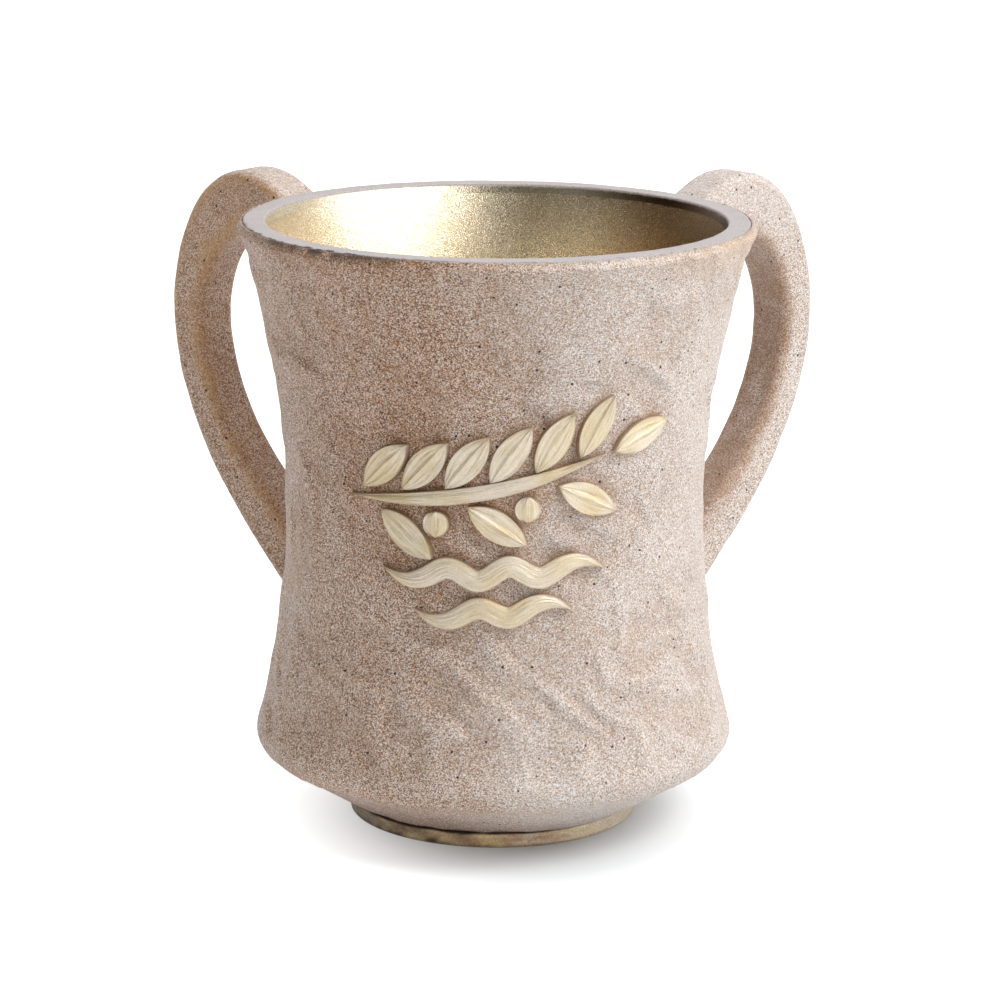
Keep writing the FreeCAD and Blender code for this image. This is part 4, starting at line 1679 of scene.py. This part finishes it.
@dataclass
class Bowl:
    """The thin gilt bowl: a flat floor, a rounded corner, a straight wall, then a flare.

    The sizes are in millimetres, of its inner face.
    """

    radius: float = 39.4
    mouth: float = 48.6
    waist: float = 68.0
    top: float = 128.0
    floor: float = 12.0
    floor_round: float = 12.0
    thick: float = 1.4
    pinhole: float = 0.4
    sag_depth: float = 0.05
    columns: int = 360

    def line(self, grow: float) -> np.ndarray:
        """Draw the bowl's inner face, or its outer face grown by the wall.

        Args:
            grow: How far out from the inner face.

        Returns:
            Radii and heights from the mouth down to the axis.
        """
        side = self.radius + grow
        arc = arc_radius(self.mouth - self.radius, self.top - self.waist)
        heights = np.linspace(self.top, self.waist, 40)
        flare = side + arc - np.sqrt(arc ** 2 - (heights - self.waist) ** 2)
        corner = (self.radius - self.floor_round, self.floor + self.floor_round)
        bottom = quarter_arc(corner, self.floor_round + grow, 0, -1, 14)[1:]
        floor = self.floor - grow
        return np.concatenate([
            np.stack([flare, heights], axis=1),
            np.linspace([side, self.waist], [side, corner[1]], 12)[1:],
            bottom,
            np.linspace([bottom[-1, 0], floor], [self.pinhole, floor], 8)[1:],
        ])

    def surface(self) -> Surface:
        """Shape the bowl.

        Returns:
            The closed bowl, faintly uneven as a sprayed casting is. Its mark shade says where
            painted shade darkens the coat: at the right, and a little at the far left.
        """
        inner = self.line(0.0)[::-1]
        outer = self.line(self.thick)
        points = turned(np.concatenate([inner, outer])[::-1], self.columns)
        _, radius, _ = around(points)
        sag = self.sag_depth * SpaceNoise(Seed.BOWL_SAG).layers(points / 12, 2)
        points = pulled_in(points, np.where(radius > 5, sag, 0))
        made = Surface(points, wraps=False)
        side = points[..., 0] / np.maximum(radius, 1)
        made.marks["shade"] = np.maximum(smooth_step(side, 0.3, 0.85),
                                         0.22 * smooth_step(-side, 0.75, 0.97))
        return made


@dataclass
class Foot:
    """The gilt plinth with its centring spigot. Millimetres."""

    radius: float = 31.25
    height: float = 3.2
    corner: float = 0.6
    upper_corner: float = 0.5
    spigot: tuple[float, float] = (20.0, 5.2)
    pinhole: float = 0.4
    wear_depth: float = 0.16
    columns: int = 600

    def surface(self) -> Surface:
        """Shape the plinth.

        Returns:
            The closed plinth. Its rim is rounded below and worn unevenly above.
        """
        low = quarter_arc((self.radius - self.corner, self.corner), self.corner, -1, 0, 6)
        shoulder = self.height - self.upper_corner
        high = quarter_arc((self.radius - self.upper_corner, shoulder), self.upper_corner,
                           0, 1, 6)
        rim = np.linspace([self.radius, self.corner], [self.radius, shoulder], 8)[1:-1]
        profile = np.concatenate([
            [[self.pinhole, 0.0], [15.0, 0.0], [28.0, 0.0]], low, rim, high,
            [[29.6, self.height], [self.spigot[0], self.height],
             [self.spigot[0], self.spigot[1]], [self.pinhole, self.spigot[1]]],
        ])
        points = turned(profile, self.columns)
        _, radius, z = around(points)
        edge = smooth_step(radius, 29.8, 31.0)
        worn = SpaceNoise(Seed.FOOT_WEAR).layers(points * [1, 1, 2] / 4.5, 3)
        cut = edge * self.wear_depth * np.maximum(worn + 0.6, 0) * smooth_step(z, 0.15, 0.8)
        made = Surface(pulled_in(points, cut), wraps=False)
        # Painted light and shade: the rim is darkened on the left and paled on the right,
        # besides a dark seam on top and a darker bottom edge.
        across = points[..., 0] / self.radius
        left = smooth_step(-across + 0.3 * worn, 0.0, 0.9)
        right = smooth_step(across + 0.3 * worn, 0.2, 0.9)
        seam = smooth_step(z + 0.2 * worn, 2.75, 3.2) * (1 - right)
        rim = 0.3 * (1 - smooth_step(z - 0.4 * worn, 0.2, 1.2)) * (1 - 0.7 * right)
        made.marks["dark_edge_and_shade"] = np.clip(edge * (seam + 0.75 * left + rim), 0, 1)
        made.marks["pale"] = right
        return made


# Camera, light and floor


@dataclass(frozen=True)
class Camera:
    """The photograph's view, with the cup's small turn in it."""

    place: tuple[float, float, float] = (0.0, -0.79835, 0.25993)
    pitch: float = 0.2353
    yaw: float = 0.0014
    roll: float = 0.0077
    turn: float = math.radians(-0.87)
    focal: float = 3800.0
    frame: float = 1000.0
    sensor: float = 36.0

    def build(self) -> None:
        """Place the camera: its axis is (sin yaw cos pitch, cos yaw cos pitch, -sin pitch)."""
        cos_yaw, sin_yaw = math.cos(self.yaw), math.sin(self.yaw)
        cos_pitch, sin_pitch = math.cos(self.pitch), math.sin(self.pitch)
        ahead = np.array([sin_yaw * cos_pitch, cos_yaw * cos_pitch, -sin_pitch])
        right = np.array([cos_yaw, -sin_yaw, 0.0])
        up = np.cross(right, ahead)
        cos_roll, sin_roll = math.cos(self.roll), math.sin(self.roll)
        rolled = right * cos_roll + up * sin_roll
        upright = up * cos_roll - right * sin_roll
        rows = np.stack([rolled, upright, -ahead], axis=1)
        pose = Matrix(rows.tolist()).to_4x4()
        pose.translation = self.place
        data = bpy.data.cameras.new("photograph_view")
        data.sensor_width = self.sensor
        data.sensor_fit = "HORIZONTAL"
        data.lens = self.focal / self.frame * self.sensor
        data.clip_end = 50.0
        camera = bpy.data.objects.new("photograph_view", data)
        bpy.context.scene.collection.objects.link(camera)
        camera.matrix_world = Matrix.Rotation(self.turn, 4, "Z") @ pose
        bpy.context.scene.camera = camera


@dataclass(frozen=True)
class SoftBox:
    """One soft area lamp, aimed at the cup."""

    name: str
    place: tuple[float, float, float]
    size: tuple[float, float]
    power: float
    aim: tuple[float, float, float] = (0.0, 0.0, 0.065)

    def build(self) -> None:
        """Place the lamp."""
        data = bpy.data.lights.new(self.name, "AREA")
        data.shape = "RECTANGLE"
        data.size, data.size_y = self.size
        data.energy = self.power
        lamp = bpy.data.objects.new(self.name, data)
        bpy.context.scene.collection.objects.link(lamp)
        back = unit(np.array(self.place) - np.array(self.aim))
        right = unit(np.cross([0, 0, 1], back))
        up = np.cross(back, right)
        pose = Matrix(np.stack([right, up, back], axis=1).tolist()).to_4x4()
        pose.translation = self.place
        lamp.matrix_world = pose


@dataclass(frozen=True)
class Studio:
    """A white floor that keeps the cup's shadow, the lamps, and what mirrors see of the room.

    The room is a level for each direction, in degrees from behind the cup, towards its right.
    """

    floor_half: float = 6.0
    room: tuple[tuple[float, float], ...] = (
        (-180, 0.07), (-125, 0.11), (-88, 0.03), (-66, 0.07), (-44, 0.42), (16, 0.42),
        (50, 0.5), (66, 0.5), (76, 0.52), (92, 1.25), (156, 1.25), (166, 0.06), (180, 0.07),
    )
    room_gain: float = 1.5
    ambient: float = 0.42
    glow: float = 0.96
    near_glow: float = 0.016
    far_glow: float = 0.09
    glow_shape: tuple[float, float, float] = (1.45, 0.95, 1.0)
    glow_shift: tuple[float, float, float] = (-0.012, 0.0, 0.0)
    air: Colour = (1.0, 0.995, 0.99, 1.0)
    white: Colour = (0.87, 0.9, 0.92, 1.0)
    seen_white: Colour = (0.58, 0.605, 0.62, 1.0)
    lamps: tuple[SoftBox, ...] = (
        SoftBox("key_right", (0.90, -0.38, 1.00), (0.7, 0.7), 12.2),
        SoftBox("top", (0.0, 0.26, 1.22), (1.2, 1.2), 4.8),
    )

    def build(self) -> None:
        """Build the floor, the world and the lamps."""
        for lamp in self.lamps:
            lamp.build()
        self.world()
        self.floor()

    @staticmethod
    def seen(g: Nodes) -> bpy.types.NodeSocket:
        """Say whether a ray comes from the camera, a mirror or glass.

        Args:
            g: The node tree that asks.

        Returns:
            One for such a ray.
        """
        path = g.node("ShaderNodeLightPath").outputs
        both = g.maths("MAXIMUM", path["Is Camera Ray"], path["Is Glossy Ray"])
        return g.maths("MAXIMUM", both, path["Is Transmission Ray"])

    def world(self) -> None:
        """Light the scene evenly, with a white backdrop for the camera's rays.

        A mirror sees the room's level in its direction, which is atan2(x, y) as a share of
        the full turn.
        """
        world = bpy.data.worlds.new("studio")
        bpy.context.scene.world = world
        world.use_nodes = True
        g = Nodes(world.node_tree, "Generated")
        parts = g.node("ShaderNodeSeparateXYZ")
        g.feed(parts.inputs[0], g.place)
        turn = g.maths("ARCTAN2", parts.outputs[0], parts.outputs[1])
        share = g.maths("MULTIPLY_ADD", turn, 1 / FULL_TURN, 0.5)
        stops = tuple(((degrees + 180) / 360, (level, level, level, 1.0))
                      for degrees, level in self.room)
        more = g.maths("MULTIPLY_ADD", g.ramp(share, stops), self.room_gain, -self.ambient)
        mirror = g.maths("MULTIPLY_ADD", self.seen(g), more, self.ambient)
        camera = g.node("ShaderNodeLightPath").outputs["Is Camera Ray"]
        background = g.tree.nodes["Background"]
        g.feed(background.inputs["Color"], self.air)
        g.feed(background.inputs["Strength"], g.maths("MAXIMUM", mirror, camera))

    def paint(self) -> bpy.types.Material:
        """Mix the floor's white paint.

        Returns:
            The material. Rays that see it find it darker, with a glow of its own that fades
            towards the cup, so that the cup's shadow stays.
        """
        g = Graph("floor_paint")
        shape = g.node("ShaderNodeMapping")
        for name, source in (("Vector", g.place), ("Location", self.glow_shift),
                             ("Scale", self.glow_shape)):
            g.feed(shape.inputs[name], source)
        away = g.node("ShaderNodeVectorMath", operation="LENGTH")
        g.feed(away.inputs[0], shape.outputs["Vector"])
        far = g.step(away.outputs["Value"], self.near_glow, self.far_glow, 0.0, self.glow)
        colour = g.mix(self.seen(g), self.white, self.seen_white)
        return g.finish(Base_Color=colour, Roughness=0.9, Specular_IOR_Level=0.1,
                        Emission_Color=WHITE, Emission_Strength=g.times(self.seen(g), far))

    def floor(self) -> None:
        """Lay the floor."""
        half = self.floor_half
        mesh = bpy.data.meshes.new("floor")
        corners = [(-half, -half, 0), (half, -half, 0), (half, half, 0), (-half, half, 0)]
        mesh.from_pydata(corners, [], [(0, 1, 2, 3)])
        mesh.materials.append(self.paint())
        floor = bpy.data.objects.new("floor", mesh)
        bpy.context.scene.collection.objects.link(floor)


# Putting it together


@dataclass
class WashingCup:
    """Every piece of the cup."""

    wall: Wall = field(default_factory=Wall)
    handle_splay: float = 40.0
    sharp: float = 50.0
    relief_sharp: float = 40.0
    finishes: dict[Slot, bpy.types.Material] = field(default_factory=dict)

    def dress(self, name: str, node: str, surface: Surface, slot: Slot) -> None:
        """Build a piece, give it its finish and put it in its node's place.

        Args:
            name: The piece's name.
            node: The CAD node that it stands for.
            surface: Its shape.
            slot: Its material slot.
        """
        sharp = self.relief_sharp if slot is Slot.RELIEF else self.sharp
        piece = surface.build(name, sharp)
        piece.data.materials.append(self.finishes[slot])
        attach(piece, BODY)
        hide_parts(node)
        log.info("%s: %d faces", name, len(piece.data.polygons))

    def build(self) -> None:
        """Build the whole cup."""
        self.finishes = {
            Slot.STONE: StoneFinish().material(),
            Slot.RING: RingFinish().material(),
            Slot.BOWL: BowlFinish().material(),
            Slot.FOOT: FootFinish().material(),
            Slot.RELIEF: ReliefFinish().material(),
        }
        relief = Relief(self.wall)
        strokes = relief.pieces()
        body = Casting(self.wall).surface(relief.outlines)
        self.dress("stone_body", "body_shell", body, Slot.STONE)
        left = Handle(self.wall, 180 - self.handle_splay).surface(False)
        self.dress("stone_handle_left", "left_handle", left, Slot.STONE)
        right = Handle(self.wall, self.handle_splay).surface(True)
        self.dress("stone_handle_right", "right_handle", right, Slot.STONE)
        self.dress("mouth_ring", "rim_ring", MouthRing().surface(), Slot.RING)
        self.dress("gilt_bowl", "bowl_liner", Bowl().surface(), Slot.BOWL)
        self.dress("gilt_foot", "foot_plinth", Foot().surface(), Slot.FOOT)
        for node, stroke in strokes:
            self.dress(node.replace("relief", "gilt"), node, stroke, Slot.RELIEF)


def main() -> None:
    """Build the cup, the studio and the camera."""
    logging.basicConfig(level=logging.INFO, format="%(name)s %(message)s")
    bpy.context.scene.view_settings.view_transform = "Standard"
    Camera().build()
    WashingCup().build()
    Studio().build()
    bpy.context.view_layer.update()


if __name__ == "__main__":
    main()
